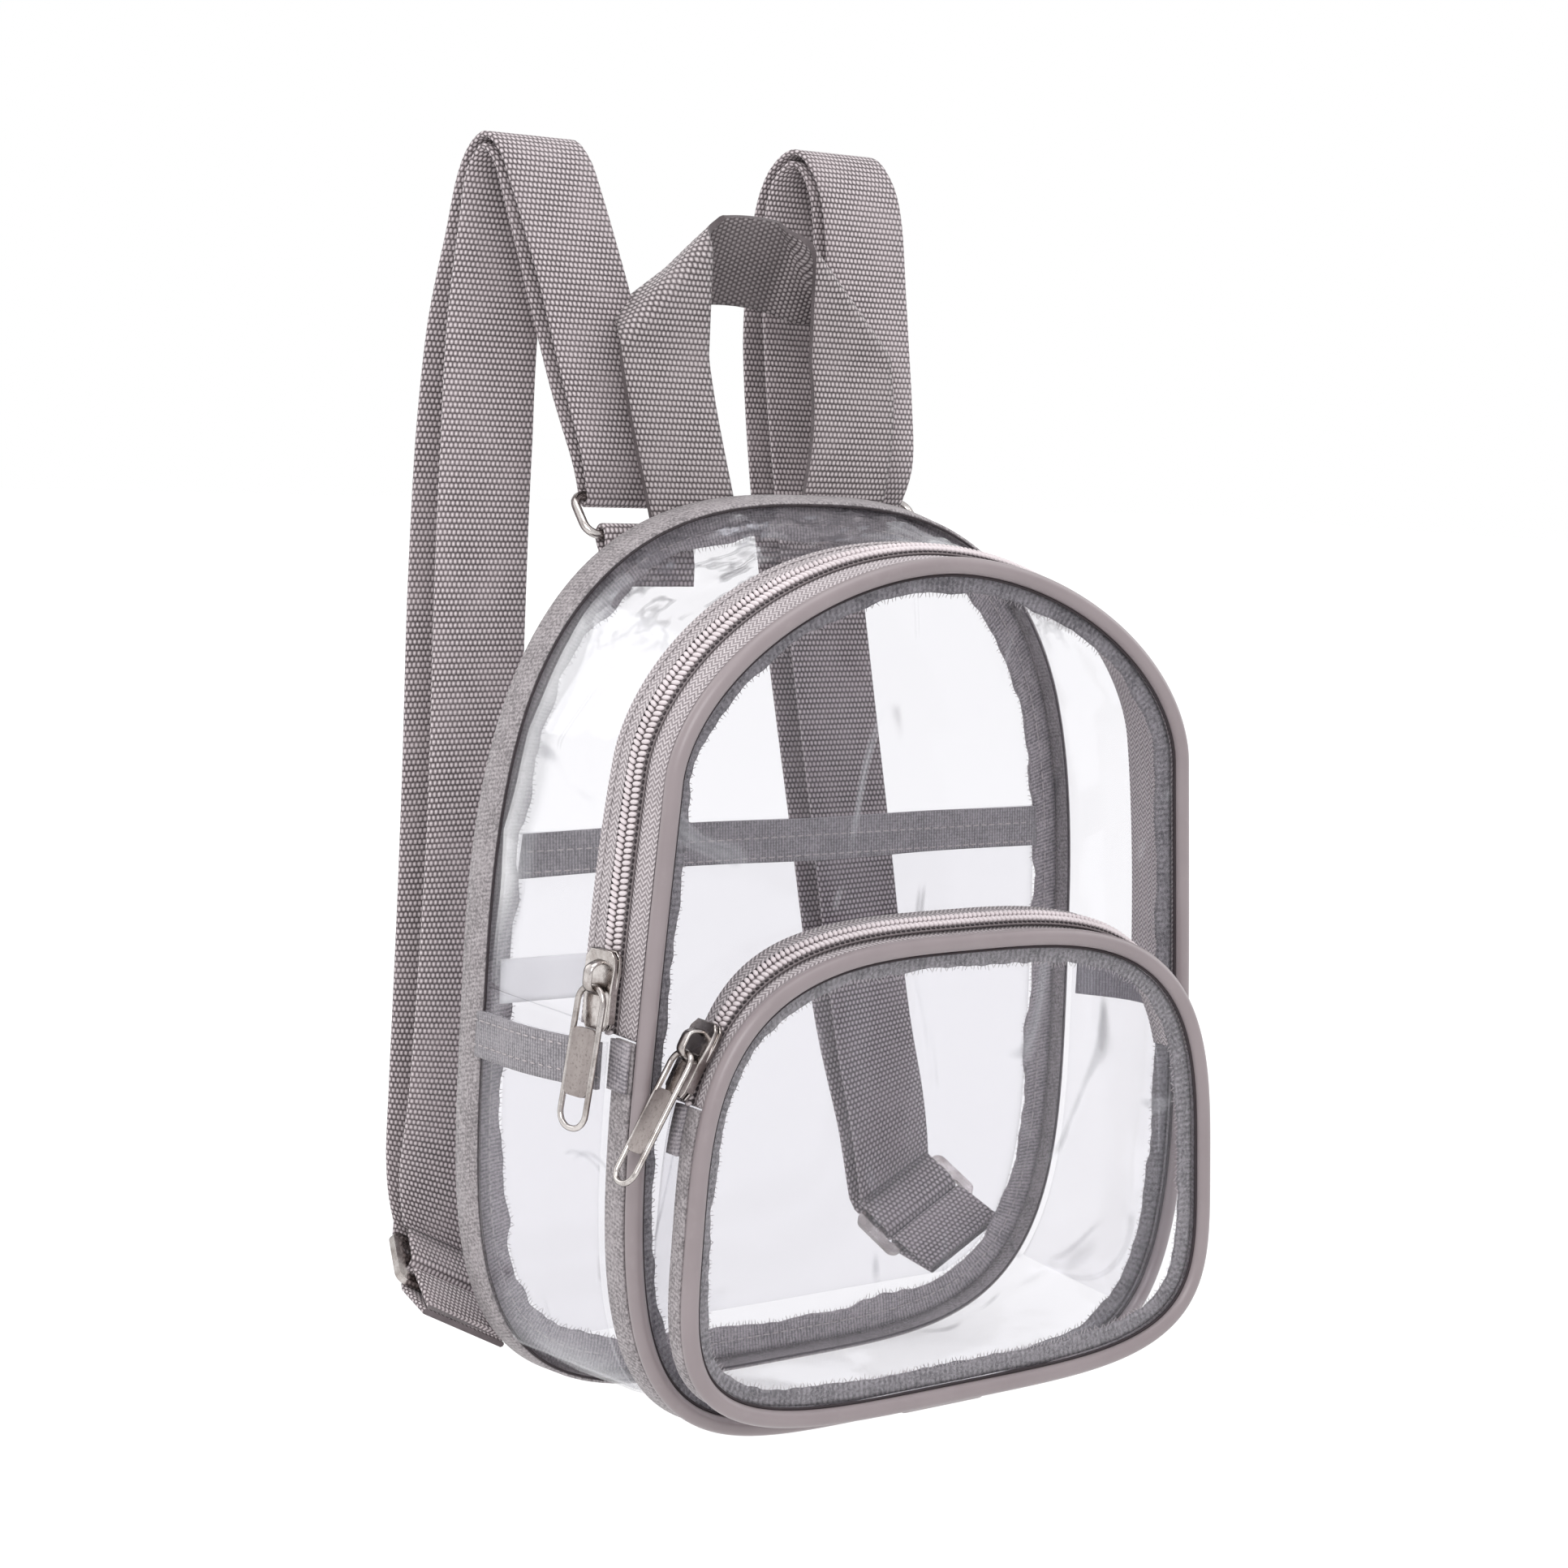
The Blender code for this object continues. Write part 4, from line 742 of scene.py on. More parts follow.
creases = {
    "panel": ((-0.052, 0.165, -0.030, 0.120, 0.0007), (0.020, 0.185, 0.055, 0.150, 0.0006),
              (-0.060, 0.060, -0.035, 0.020, 0.0007), (0.030, 0.050, 0.060, 0.018, 0.0008)),
    "width": 0.004, "share": 0.8, "slack": 0.0009, "pocketSlack": 0.0011,
}


def creased(x, z, lines, width):
    total = np.zeros(x.shape)
    for x0, z0, x1, z1, deep in lines:
        dx, dz = x1 - x0, z1 - z0
        way = np.clip(((x - x0) * dx + (z - z0) * dz) / (dx * dx + dz * dz), 0, 1)
        away = np.hypot(x - x0 - dx * way, z - z0 - dz * way)
        total += deep * np.exp(-(away / width) ** 2) * np.sin(np.pi * np.clip(way, 0.02, 0.98))
    return total


def panelLift(amount, seed, direction):
    def lift(points, inward):
        hold = np.clip(inward / 0.22, 0, 1) ** 1.5
        move = noiseAt(points, 14, seed) * amount + noiseAt(points * (1, 1, 0.5), 38, seed + 1) * amount * 0.35
        move = move + creased(points[..., 0], points[..., 2], creases["panel"], creases["width"]) * creases["share"]
        return np.stack((np.zeros_like(move), move * hold * direction, np.zeros_like(move)), -1)
    return lift


rimShares = np.arange(240) / 240


def insetRim(outline, inset, y):
    flat = outline.at(rimShares) - outward(outline.at, rimShares) * inset
    return np.stack((flat[:, 0], np.broadcast_to(y, len(flat)), flat[:, 1]), -1)


backFilm = discPiece("backFilm", insetRim(backOutline, 2 * clearance, -film / 2), np.array([0, -film / 2, 0.108]),
                     44, filmWall, "film", panelLift(creases["slack"], 3, 1))
place(backFilm, "bag", "film", "back_panel")
frontInset = body["pipingRadius"] + clearance
frontFace = -body["depth"] + film / 2
frontFilm = discPiece("frontFilm", insetRim(frontOutline, frontInset, frontFace), np.array([0, frontFace, 0.1]),
                      44, filmWall, "film", panelLift(creases["slack"], 8, -1))
place(frontFilm, "bag", "film", "front_panel")


looseSide = {"held": 0.3, "billow": 0.0030, "sink": 0.0006, "ridge": 0.0016, "topShare": 0.49, "topReach": 0.10,
             "crumple": 0.0034, "crinkle": 0.0012}


def gussetMove(points, share, forward, width):
    # Slack in the side film: broad billows, sharp ridges and a crumpled patch at the top.
    hold = np.clip(np.minimum(forward, width - forward) / (width * looseSide["held"]), 0, 1) ** 0.8
    broad = noiseAt(points, 17, 21) * looseSide["billow"] - looseSide["sink"]
    ridges = (ridgeAt(points * (1, 0.5, 1), 30, 5) - 0.55) * looseSide["ridge"]
    top = np.clip(1 - np.abs(share - looseSide["topShare"]) / looseSide["topReach"], 0, 1) ** 0.6
    crumple = (ridgeAt(points * (1, 0.8, 1), 62, 9) - 0.5) * looseSide["crumple"] * top
    crumple += (ridgeAt(points * (0.6, 1.3, 1), 120, 14) - 0.5) * looseSide["crinkle"] * top
    return (broad + ridges + crumple) * hold


filmRows, filmColumns = 420, 27


def gussetFilm(name, start, end, front, nodes):
    shares = np.linspace(start, end, int(abs(end - start) * filmRows))
    forward = np.linspace(seamOut, front, filmColumns)
    share, reach = np.meshgrid(shares, forward, indexing="ij")
    flat = gussetAt(share, reach, -film / 2)
    move = gussetMove(flat, share % 1, reach - seamOut, front - seamOut)
    grid = gussetAt(share, reach, -film / 2 + move)
    place(shellPiece(name, grid, filmWall, "slackFilm"), "bag", "film", *nodes)


gussetFilm("sideFilm", mainShare, 1 - mainShare, zipBack + 0.0012, ["gusset_top"])
gussetFilm("baseFilm", -mainShare, mainShare, gussetFront, ["gusset_base"])

# Front pocket film, tilted a little because the pocket is deeper at its foot
pocketRim = pocketOutline.at(rimShares) - outward(pocketOutline.at, rimShares) * frontInset
pocketFace = np.stack((pocketRim[:, 0], -body["depth"] - pocketDepth(pocketRim[:, 1]) + film / 2,
                       pocketRim[:, 1]), -1)
pocketMiddle = np.array([0, -body["depth"] - float(pocketDepth(0.064)) + film / 2, 0.064])
pocketFilm = discPiece("pocketFilm", pocketFace, pocketMiddle, 40, filmWall, "outerFilm",
                      panelLift(creases["pocketSlack"], 12, -1))
place(pocketFilm, "bag", "film", "pocket_front")

pocketZip = {"end": 0.0860, "slider": 0.0945, "chain": 0.0052, "forward": 0.0066}
pocketShare = pocketOutline.shareAt(pocketZip["end"])
pocketShares = np.linspace(-pocketShare, pocketShare, 200)
wallSpan = np.linspace(0, 1, 9)
rimGap = body["pipingRadius"] + clearance
share, way = np.meshgrid(pocketShares, wallSpan, indexing="ij")
wallGrid = pocketAt(share, clearance, -film / 2) * (1 - way[..., None]) + pocketRimAt(
    share, rimGap, -film / 2) * way[..., None]
wallWave = noiseAt(wallGrid, 30, 4) * 0.0008 * np.sin(np.pi * wallSpan)[None]
wallGrid[..., 0] += wallWave * np.sign(wallGrid[..., 0])
place(shellPiece("pocketWallFilm", wallGrid, filmWall, "film"), "bag", "film", "pocket_gusset")
print("film panels made")

# Side pockets, with their folded bands

bandWall = 0.0012
sidePocket = {"top": 0.0975, "foot": 0.018, "lift": 0.0007, "seam": 0.0018, "slack": 0.6, "left": 0.0025,
              "right": 0.010, "band": 0.0105, "bandRun": 0.045, "wave": 0.0016, "crease": 0.0010, "rows": 54,
              "columns": 25}
edgeTape = 0.0065
baseTape = 0.006
sideBack = edgeTape + sidePocket["seam"]
sideFront = gussetFront - baseTape - sidePocket["seam"]


def sideGrid(side, bulgeMost, low, high, rows, columns, extra):
    grid = np.zeros((rows, columns, 3))
    for column, way in enumerate(np.linspace(0, 1, columns)):
        forward = sideBack + (sideFront - sideBack) * way
        shares = np.linspace(0.02, 0.49, 3000)
        heights = gussetAt(shares, forward, 0)[:, 2]
        height = np.linspace(low, high, rows)
        fill = ((height - sidePocket["foot"]) / (sidePocket["top"] - sidePocket["foot"])) ** sidePocket["slack"]
        share = np.interp(height, heights, shares) * side
        bulge = bulgeMost * math.sin(math.pi * way) * fill
        grid[:, column] = gussetAt(share, forward, clearance + sidePocket["lift"] + bulge + extra)
    return grid


for side, word in ((1, "right"), (-1, "left")):
    bulge = sidePocket[word]
    rows, columns = sidePocket["rows"], sidePocket["columns"]
    grid = sideGrid(side, bulge, sidePocket["foot"], sidePocket["top"], rows, columns, film / 2)
    ways = np.linspace(0, 1, columns)[None]
    rise = np.linspace(0, 1, rows)[:, None]
    hold = np.sin(np.pi * ways) * np.clip(rise / 0.15, 0, 1)
    ridges = (ridgeAt(grid * (1, 1, 0.6), 44, 40 + side) - 0.5) * sidePocket["crease"]
    wave = noiseAt(grid, 26, 31 + side) * sidePocket["wave"] + ridges
    wave = wave * hold * np.clip((1 - rise) / 0.16, 0, 1)
    grid[..., 0] += side * np.maximum(wave, -0.0004)
    pouch = shellPiece(word + "Pouch", grid, filmWall, "slackFilm")
    place(pouch, "bag", "film", "side_pocket_" + word)
    bandFoot = sidePocket["top"] - sidePocket["band"]
    band = sideGrid(side, bulge, bandFoot, sidePocket["top"], 12, columns, film + 2 * clearance + bandWall / 2)
    band[..., 0] += side * noiseAt(band, 60, 50) * 0.0004
    bandUv = np.stack(np.meshgrid(np.linspace(0, sidePocket["band"], 12),
                                  np.linspace(0, sidePocket["bandRun"], columns), indexing="ij")[::-1], -1)
    place(shellPiece(word + "PouchBand", band, bandWall, "bandRib", coordinates=bandUv),
          "bag", "binding", "side_band_" + word)
    for label, row in (("Upper", 9), ("Lower", 3)):
        line = band[row]
        fine = np.stack([np.interp(np.linspace(0, 24, 17), np.arange(25), line[:, axis]) for axis in range(3)], -1)
        fine[:, 0] += side * 0.0007
        stitchRow(word + "PouchStitch" + label, fine, unit(np.gradient(fine, axis=0)), (side, 0, 0))

# Flat pocket inside the back, its folded band, and the bare cloth tag

innerPocket = {"top": 0.1375, "foot": 0.014, "flange": 0.009, "band": 0.0105}
innerFace = -seamOut


def innerReach(height):
    inset = innerPocket["flange"] + 2 * clearance
    shares = np.linspace(0.05, 0.45, 3000)
    flat = backOutline.at(shares) - outward(backOutline.at, shares) * inset
    return float(np.interp(height, flat[:, 1], flat[:, 0]))


def innerGrid(low, high, rows, columns, face):
    heights = np.linspace(low, high, rows)
    reach = np.array([innerReach(height) for height in heights])
    x = np.linspace(-1, 1, columns)[None] * reach[:, None]
    z = np.broadcast_to(heights[:, None], x.shape)
    return np.stack((x, np.full_like(x, face), z), -1)


inside = innerGrid(innerPocket["foot"], innerPocket["top"], 50, 60, innerFace - film / 2)
slack = np.clip(noiseAt(inside, 22, 60), 0, 1) * 0.0012
inside[..., 1] -= slack * np.sin(np.pi * np.linspace(0, 1, 60))[None] * np.clip(
    (innerPocket["top"] - innerPocket["band"] - inside[..., 2]) / 0.02, 0, 1)
place(shellPiece("innerPocketFilm", inside, filmWall, "film"), "bag", "film", "inner_pocket")
bandFace = innerFace - film - clearance
innerBand = innerGrid(innerPocket["top"] - innerPocket["band"], innerPocket["top"], 12, 80, bandFace - bandWall / 2)
innerBand[..., 2] += (noiseAt(innerBand, 24, 61) * 0.0006)
bandUv = np.stack((innerBand[..., 0], innerBand[..., 2]), -1)
place(shellPiece("innerPocketBand", innerBand, bandWall, "bandRib", coordinates=bandUv), "bag", "binding",
      "inner_band")
for label, rise in (("Upper", 0.0062), ("Lower", 0.0012)):
    height = innerPocket["top"] - innerPocket["band"] + rise
    x = np.arange(-innerReach(height) + 0.002, innerReach(height) - 0.002, stitchPitch)
    points = np.stack((x, np.full_like(x, bandFace - bandWall), np.full_like(x, height)), -1)
    stitchRow("innerBandStitch" + label, points, np.broadcast_to((1, 0, 0), points.shape), inwardFace)

tag = {"long": 0.024, "tuck": 0.003, "high": 0.0105, "up": 0.108}
tagRoot = -innerReach(tag["up"]) - tag["tuck"]
tagX, tagZ = np.meshgrid(np.linspace(0, tag["long"], 16), np.linspace(-tag["high"], 0, 8), indexing="ij")
tagGrid = np.stack((tagRoot + tagX, bandFace - 0.0003 - 0.0007 * (tagX / tag["long"]) ** 2, tag["up"] + tagZ), -1)
place(shellPiece("bareTag", tagGrid, 0.0004, "tagCloth"), "bag", "tag", "tag")
print("pockets made")

# Bindings and piping round the seams

seamShares = np.arange(420) / 420
edgeOut = clearance + body["tapeCloth"]


def bandSections(shares, corners):
    return np.stack([gussetAt(shares, forward, out) for forward, out in corners], 1)


def softCorners(corners, radius=0.00025):
    # Each corner of a cross-section is cut into two.
    result = []
    count = len(corners)
    for index, corner in enumerate(corners):
        for other in (corners[index - 1], corners[(index + 1) % count]):
            gap = math.dist(corner, other)
            way = min(radius / gap, 0.45)
            result.append((corner[0] + (other[0] - corner[0]) * way, corner[1] + (other[1] - corner[1]) * way))
    return result


edgeCorners = [(-edgeOut, edgeOut), (edgeTape, edgeOut), (edgeTape, clearance), (-clearance, clearance),
               (-clearance, -0.002), (-edgeOut, -0.002)]
place(loftPiece("backEdgeBinding", bandSections(seamShares, softCorners(edgeCorners, 0.0004)), "bindingRib", True),
      "bag", "binding", "back_edge")

flange = {"wall": 0.0008, "back": 0.009, "front": 0.0042, "pocket": 0.0038, "off": 0.0005, "lift": 0.0006}
fringe = {"pitch": 0.0011, "size": (0.0022, 0.00020, 0.00018), "loose": 0.75, "out": 0.0007}
flangeOut = -film - clearance


def rippled(points, *waves):
    # The sum of some noises, each given by its scale, seed and size
    return sum(noiseAt(points, scale, seed) * size for scale, seed, size in waves)


def fringePiece(name, grid):
    # Loose yarn ends along the raw inner edge of a flange.
    inner = grid[:, -1]
    path = np.concatenate((inner, inner[:1]))
    inward = inner - grid[:, -2]
    inward = np.concatenate((inward, inward[:1]))
    way = runs(path, False)
    want = np.arange(0, way[-1], fringe["pitch"])
    points = np.stack([np.interp(want, way, path[:, axis]) for axis in range(3)], -1)
    heading = np.stack([np.interp(want, way, inward[:, axis]) for axis in range(3)], -1)
    heading = unit(heading)
    reach = np.clip(noiseAt(points, 900, 5) * 0.9 + 0.2, 0, 1)[:, None]
    yarn = beadPiece(name, points + heading * fringe["out"] * reach, heading,
                     np.broadcast_to(inwardFace, points.shape), fringe["size"], "thread", 0.0, fringe["loose"])
    return place(yarn, "bag", "binding")


def faceFlange(word, reader, start, lift, ripple, *nodes):
    # The rippled cloth edge inside a piping, with its fringe
    grid = np.stack([reader(seamShares, start + way * lift, -frontInset - (flange[word] + ripple) * way)
                     for way in np.linspace(0, 1, 5)], 1)
    cloth = shellPiece(word + "Flange", grid, flange["wall"], "frontFlangeRib", wrap=True)
    place(cloth, "bag", "binding", *nodes)
    fringePiece(word + "Fringe", grid)


backSeam = gussetAt(seamShares, 2e-3, 0)
ripple = rippled(backSeam, (260, 70, 0.0007), (60, 71, 0.0022))
flangeWays = np.linspace(0, 1, 7)
backGrid = np.stack([
    gussetAt(seamShares, seamOut + flange["off"]
             + np.maximum(0, noiseAt(gussetAt(seamShares, 2e-3, -way * flange["back"]), 90, 73)) * 0.0022 * way,
             flangeOut - (flange["back"] + flangeOut + ripple) * way) for way in flangeWays], 1)
backFlange = shellPiece("backFlange", backGrid, flange["wall"], "flangeRib", wrap=True)
place(backFlange, "bag", "binding", "back_binding")
shares, points, along = seamPoints(lambda s: gussetAt(s, seamOut + 0.0013, flangeOut - 0.0040), 0.0, 1.0, stitchPitch)
stitchRow("backFlangeStitch", points, along, inwardFace)

place(tubePiece("frontPiping", gussetAt(np.arange(520) / 520, body["depth"], 0), body["pipingRadius"], "piping",
                (0, 1, 0), True, 18), "bag", "piping", "front_piping")
frontRipple = rippled(gussetAt(seamShares, 0.058, 0), (300, 75, 0.0006), (70, 76, 0.0009))
faceFlange("front", gussetAt, body["depth"] - film - clearance - flange["off"], -flange["lift"], frontRipple,
           "front_binding")
pocketRipple = rippled(pocketAt(seamShares, 0.014, 0), (300, 78, 0.0005), (80, 79, 0.0008))
faceFlange("pocket", pocketRimAt, film + clearance + flange["off"], flange["lift"], pocketRipple)
fringePiece("backFringe", backGrid)

# Near-black tubes of painted shade where the piping meets the film and the tape and along the back binding, and the
# lapped sleeve that closes the piping
pocketGap = np.stack((pocketFace[:, 0], pocketFace[:, 1] - filmWall, pocketFace[:, 2]), -1)
gaps = {
    "front": (insetRim(frontOutline, frontInset, frontFace - filmWall), 0.00035, "piping"),
    "pocket": (pocketGap, 0.00035, "piping"),
    "tape": (gussetAt(seamShares, gussetFront - 0.0001, 0.0001), 0.00038, "piping"),
    "back": (gussetAt(seamShares, edgeTape + 0.0001, clearance), 0.00028, "binding"),
}
for word, (line, radius, slot) in gaps.items():
    place(tubePiece(word + "Gap", line, radius, "chainShadow", (0, 1, 0), True, 8), "bag", slot)
sleeve = {"from": -0.006, "to": 0.034, "taper": 0.0015, "thin": 0.0001, "thick": 0.0005}
sleeveRun = np.linspace(sleeve["from"], sleeve["to"], 30)
sleeveWall = np.interp(sleeveRun, (sleeve["from"], sleeve["from"] + sleeve["taper"], sleeve["to"] - sleeve["taper"],
                                   sleeve["to"]), [sleeve[key] for key in ("thin", "thick", "thick", "thin")])
place(tubePiece("pipingSleeve", gussetAt(sleeveRun, body["depth"], 0), body["pipingRadius"] + sleeveWall, "piping",
                (0, 1, 0), False, 18), "bag", "piping")

joint = clearance / frontOutline.whole
baseShares = np.linspace(-mainShare + joint, mainShare - joint, 260)
baseCorners = [(gussetFront, edgeOut), (gussetFront - baseTape, edgeOut), (gussetFront - baseTape, clearance),
               (gussetFront, clearance)]
place(loftPiece("baseSeamTape", bandSections(baseShares, softCorners(baseCorners, 0.0003)), "bindingRib"),
      "bag", "tape", "base_tape")

place(tubePiece("pocketPiping", pocketRimAt(seamShares, 0, 0), body["pipingRadius"], "piping", (0, 1, 0), True, 18),
      "bag", "piping", "pocket_piping")
pocketTapeWidth = 0.0045
pocketJoint = clearance / pocketOutline.whole
lowShares = np.linspace(-pocketShare + pocketJoint, pocketShare - pocketJoint, 220)
tapeCorners = softCorners([(rimGap, edgeOut), (rimGap + pocketTapeWidth, edgeOut),
                           (rimGap + pocketTapeWidth, clearance), (rimGap, clearance)], 0.0003)
place(loftPiece("pocketSeamTape", np.stack([pocketRimAt(lowShares, fromRim, out) for fromRim, out in tapeCorners], 1),
                "bindingRib"), "bag", "tape", "pocket_tape")
print("seams made")

# Zips: two tapes with a coil between them

chainTop = clearance + 0.0015
coilRow = {"pitch": 0.00135, "long": 0.0027, "wide": 0.00122, "high": 0.00135, "turn": 0.30, "aside": 0.205,
           "up": 0.00085, "dashPitch": 0.00145, "dash": (0.00115, 0.0008, 0.0006), "dashIn": 0.0004,
           "dashUp": 0.00045, "bed": 0.0004}


def zipTape(name, sectionsAt, start, end, nodes):
    shares = np.linspace(start, end, 320)
    return place(loftPiece(name, sectionsAt(shares), "zipTape"), "bag", "tape", *nodes)


def mainTapeSections(shares):
    ways = softCorners([(zipBack, 0.0), (gussetFront, 0.0), (gussetFront, -body["tapeCloth"]),
                        (zipBack, -body["tapeCloth"])])
    return np.stack([gussetAt(shares, forward, out) for forward, out in ways], 1)


zipTape("mainZipTape", mainTapeSections, mainShare, 1 - mainShare, ["main_zip_tape"])


def pocketTapeSections(shares):
    low = body["tapeCloth"]
    corners = ((0.0, 0.0), (1.0, 0.0), (1.0, -low), (0.0, -low))
    rows = []
    for way, out in corners:
        base = pocketAt(shares, clearance, out)
        top = pocketRimAt(shares, rimGap, out)
        rows.append(base * (1 - way) + top * way)
    return np.stack(rows, 1)


zipTape("pocketZipTape", pocketTapeSections, pocketShare, 1 - pocketShare, ["pocket_zip_tape"])


def zipChain(name, reader, start, end, middle, chain, node):
    # Reader(shares, forward, out) gives points; the chain has a cloth bed, two rows of coil and dark dashes of
    # painted shade along the bed's edges.
    bedCorners = ((-chain / 2, 0.0), (chain / 2, 0.0), (chain / 2, coilRow["bed"]), (-chain / 2, coilRow["bed"]))
    shares = np.linspace(start, end, 300)
    bed = np.stack([reader(shares, middle + across, clearance + up) for across, up in bedCorners], 1)
    place(loftPiece(name + "Bed", bed, "chainCloth"), "bag", "coil", node)
    scale = chain / mainZip["chain"]
    for side, label in ((-1, "Rear"), (1, "Front")):
        across = side * (chain / 2 - coilRow["dashIn"])
        shares, points, along = seamPoints(lambda s: reader(s, middle + across, clearance + coilRow["dashUp"]),
                                           start, end, coilRow["dashPitch"])
        facing = reader(shares, middle + across, clearance + 0.001) - reader(shares, middle + across, clearance)
        dashes = beadPiece(name + "Dash" + label, points, along, unit(facing), coilRow["dash"],
                           "chainShadow", 0.0, 0.15)
        place(dashes, "bag", "coil")
        across = side * chain * coilRow["aside"]
        shares, points, along = seamPoints(lambda s: reader(s, middle + across, clearance + coilRow["up"]),
                                           start, end, coilRow["pitch"])
        if side > 0:
            shares = shares + (shares[1] - shares[0]) / 2
            points = reader(shares, middle + across, clearance + coilRow["up"])
        sideways = reader(shares, middle + across + 0.001, clearance) - reader(shares, middle + across, clearance)
        out = np.cross(along, sideways)
        out = unit(out)
        facing = reader(shares, middle, clearance + 0.001) - reader(shares, middle, clearance)
        out = out * np.sign((out * facing).sum(-1, keepdims=True))
        size = (coilRow["long"] * scale, coilRow["wide"], coilRow["high"])
        coil = beadPiece(name + label, points, unit(sideways), out, size, "zipCoil",
                         coilRow["turn"] * side)
        place(coil, "bag", "coil")


zipChain("mainChain", gussetAt, mainShare + joint, 1 - mainShare - joint, chainMiddle, mainZip["chain"],
         "main_zip_coil")
zipChain("pocketChain", pocketAt, pocketShare + pocketJoint, 1 - pocketShare - pocketJoint, pocketZip["forward"],
         pocketZip["chain"], "pocket_zip_coil")

stopFace = edgeOut + clearance
stop = {"long": 0.011, "thick": 0.001}
stopShare = stop["long"] / frontOutline.whole
pocketStopShare = stop["long"] / pocketOutline.whole
pocketChainBack = pocketZip["forward"] - pocketZip["chain"] / 2
for side, word in ((1, "right"), (-1, "left")):
    shares = np.linspace(side * (mainShare - joint), side * (mainShare - joint - stopShare), 12)
    stopTop = stopFace + stop["thick"]
    corners = softCorners([(gussetFront, stopFace), (gussetFront, stopTop), (gussetFront - baseTape, stopTop),
                           (gussetFront - baseTape, stopFace)])
    place(loftPiece(word + "MainStop", bandSections(shares, corners), "flangeRib"), "bag", "tape",
          "main_zip_stop_" + word)
    shares = np.linspace(side * (pocketShare - pocketJoint), side * (pocketShare - pocketJoint - pocketStopShare), 12)
    far = rimGap + pocketTapeWidth + clearance
    rows = [pocketAt(shares, pocketChainBack, clearance), pocketAt(shares, pocketChainBack, chainTop),
            pocketRimAt(shares, far, chainTop), pocketRimAt(shares, far, clearance)]
    place(loftPiece(word + "PocketStop", np.stack(rows, 1), "flangeRib"), "bag", "tape", "pocket_zip_stop_" + word)

place(gussetStitches("mainZipRearStitch", mainShare, 1 - mainShare, zipBack + 0.0022, 0.0002), "bag", "tape")
print("zips made")


# Flat fittings cut from an outline


def roundedOutline(long, wide, radius, centre=(0, 0), steps=8):
    points = []
    for turn, (sideX, sideY) in enumerate(((1, 1), (-1, 1), (-1, -1), (1, -1))):
        for step in range(steps + 1):
            angle = (turn + step / steps) * math.pi / 2
            points.append((centre[0] + sideX * (long / 2 - radius) + math.cos(angle) * radius,
                           centre[1] + sideY * (wide / 2 - radius) + math.sin(angle) * radius))
    return points


def plateMesh(name, outlines, thickness):
    curve = bpy.data.curves.new(name, "CURVE")
    curve.dimensions = "2D"
    curve.fill_mode = "BOTH"
    curve.extrude = thickness / 2
    for outline in outlines:
        spline = curve.splines.new("POLY")
        spline.points.add(len(outline) - 1)
        for target, point in zip(spline.points, outline):
            target.co = (point[0], point[1], 0, 1)
        spline.use_cyclic_u = True
    mesh = evaluatedMesh(linked(name, curve))
    work = bmesh.new()
    work.from_mesh(mesh)
    bmesh.ops.remove_doubles(work, verts=work.verts, dist=0.00001)
    bmesh.ops.recalc_face_normals(work, faces=work.faces)
    work.to_mesh(mesh)
    work.free()
    mesh.name = name
    return mesh


def platePiece(name, outlines, thickness, matrix, finish, soften, segments=3):
    mesh = plateMesh(name, outlines, thickness)
    mesh.transform(Matrix.Translation(-Vector(hangPoint)) @ matrix)
    mesh.materials.clear()
    mesh.materials.append(finishes[finish])
    mesh.shade_smooth()
    piece = linked(name, mesh)
    edges = piece.modifiers.new("edges", "BEVEL")
    edges.width = soften
    edges.segments = segments
    edges.limit_method = "ANGLE"
    edges.angle_limit = math.radians(50)
    edges.harden_normals = True
    return piece


def turnedPath(matrix, points):
    return np.array([tuple(matrix @ Vector((*point[:2], point[2] if len(point) > 2 else 0))) for point in points])


# Sliders and pulls

slider = {"long": 0.018, "wide": 0.0095, "thick": 0.0024, "bridgeStart": 0.0075, "bridge": 0.0085,
          "bridgeWall": 0.0011, "bridgeWide": 0.0028, "bridgeClear": 0.0027, "top": 0.0011, "base": 0.0009,
          "rail": 0.0012, "sunk": 0.0006}
pull = {"long": 0.033, "wide": 0.0095, "pocketWide": 0.0084, "thick": 0.0014, "rim": 0.0014, "eye": 0.009,
        "window": 0.008, "plate": 0.0011, "plateCorner": 0.0021, "overlap": 0.0034, "play": 0.0005,
        "mainLean": math.radians(9), "pocketLean": math.radians(30)}


def zipFrame(reader, share, forward, raised, side):
    nudge = 0.002
    middle = reader(share, forward, raised)
    upward = reader(share + side * nudge, forward, raised) - middle
    upward = unit(upward)
    across = reader(share, forward + nudge / 2, raised) - reader(share, forward - nudge / 2, raised)
    across = unit(across - upward * across.dot(upward))
    out = np.cross(upward, across)
    if out[0] * side < 0:
        across, out = -across, -out
    matrix = Matrix((Vector(upward), Vector(across), Vector(out))).transposed().to_4x4()
    matrix.translation = Vector(middle)
    return matrix


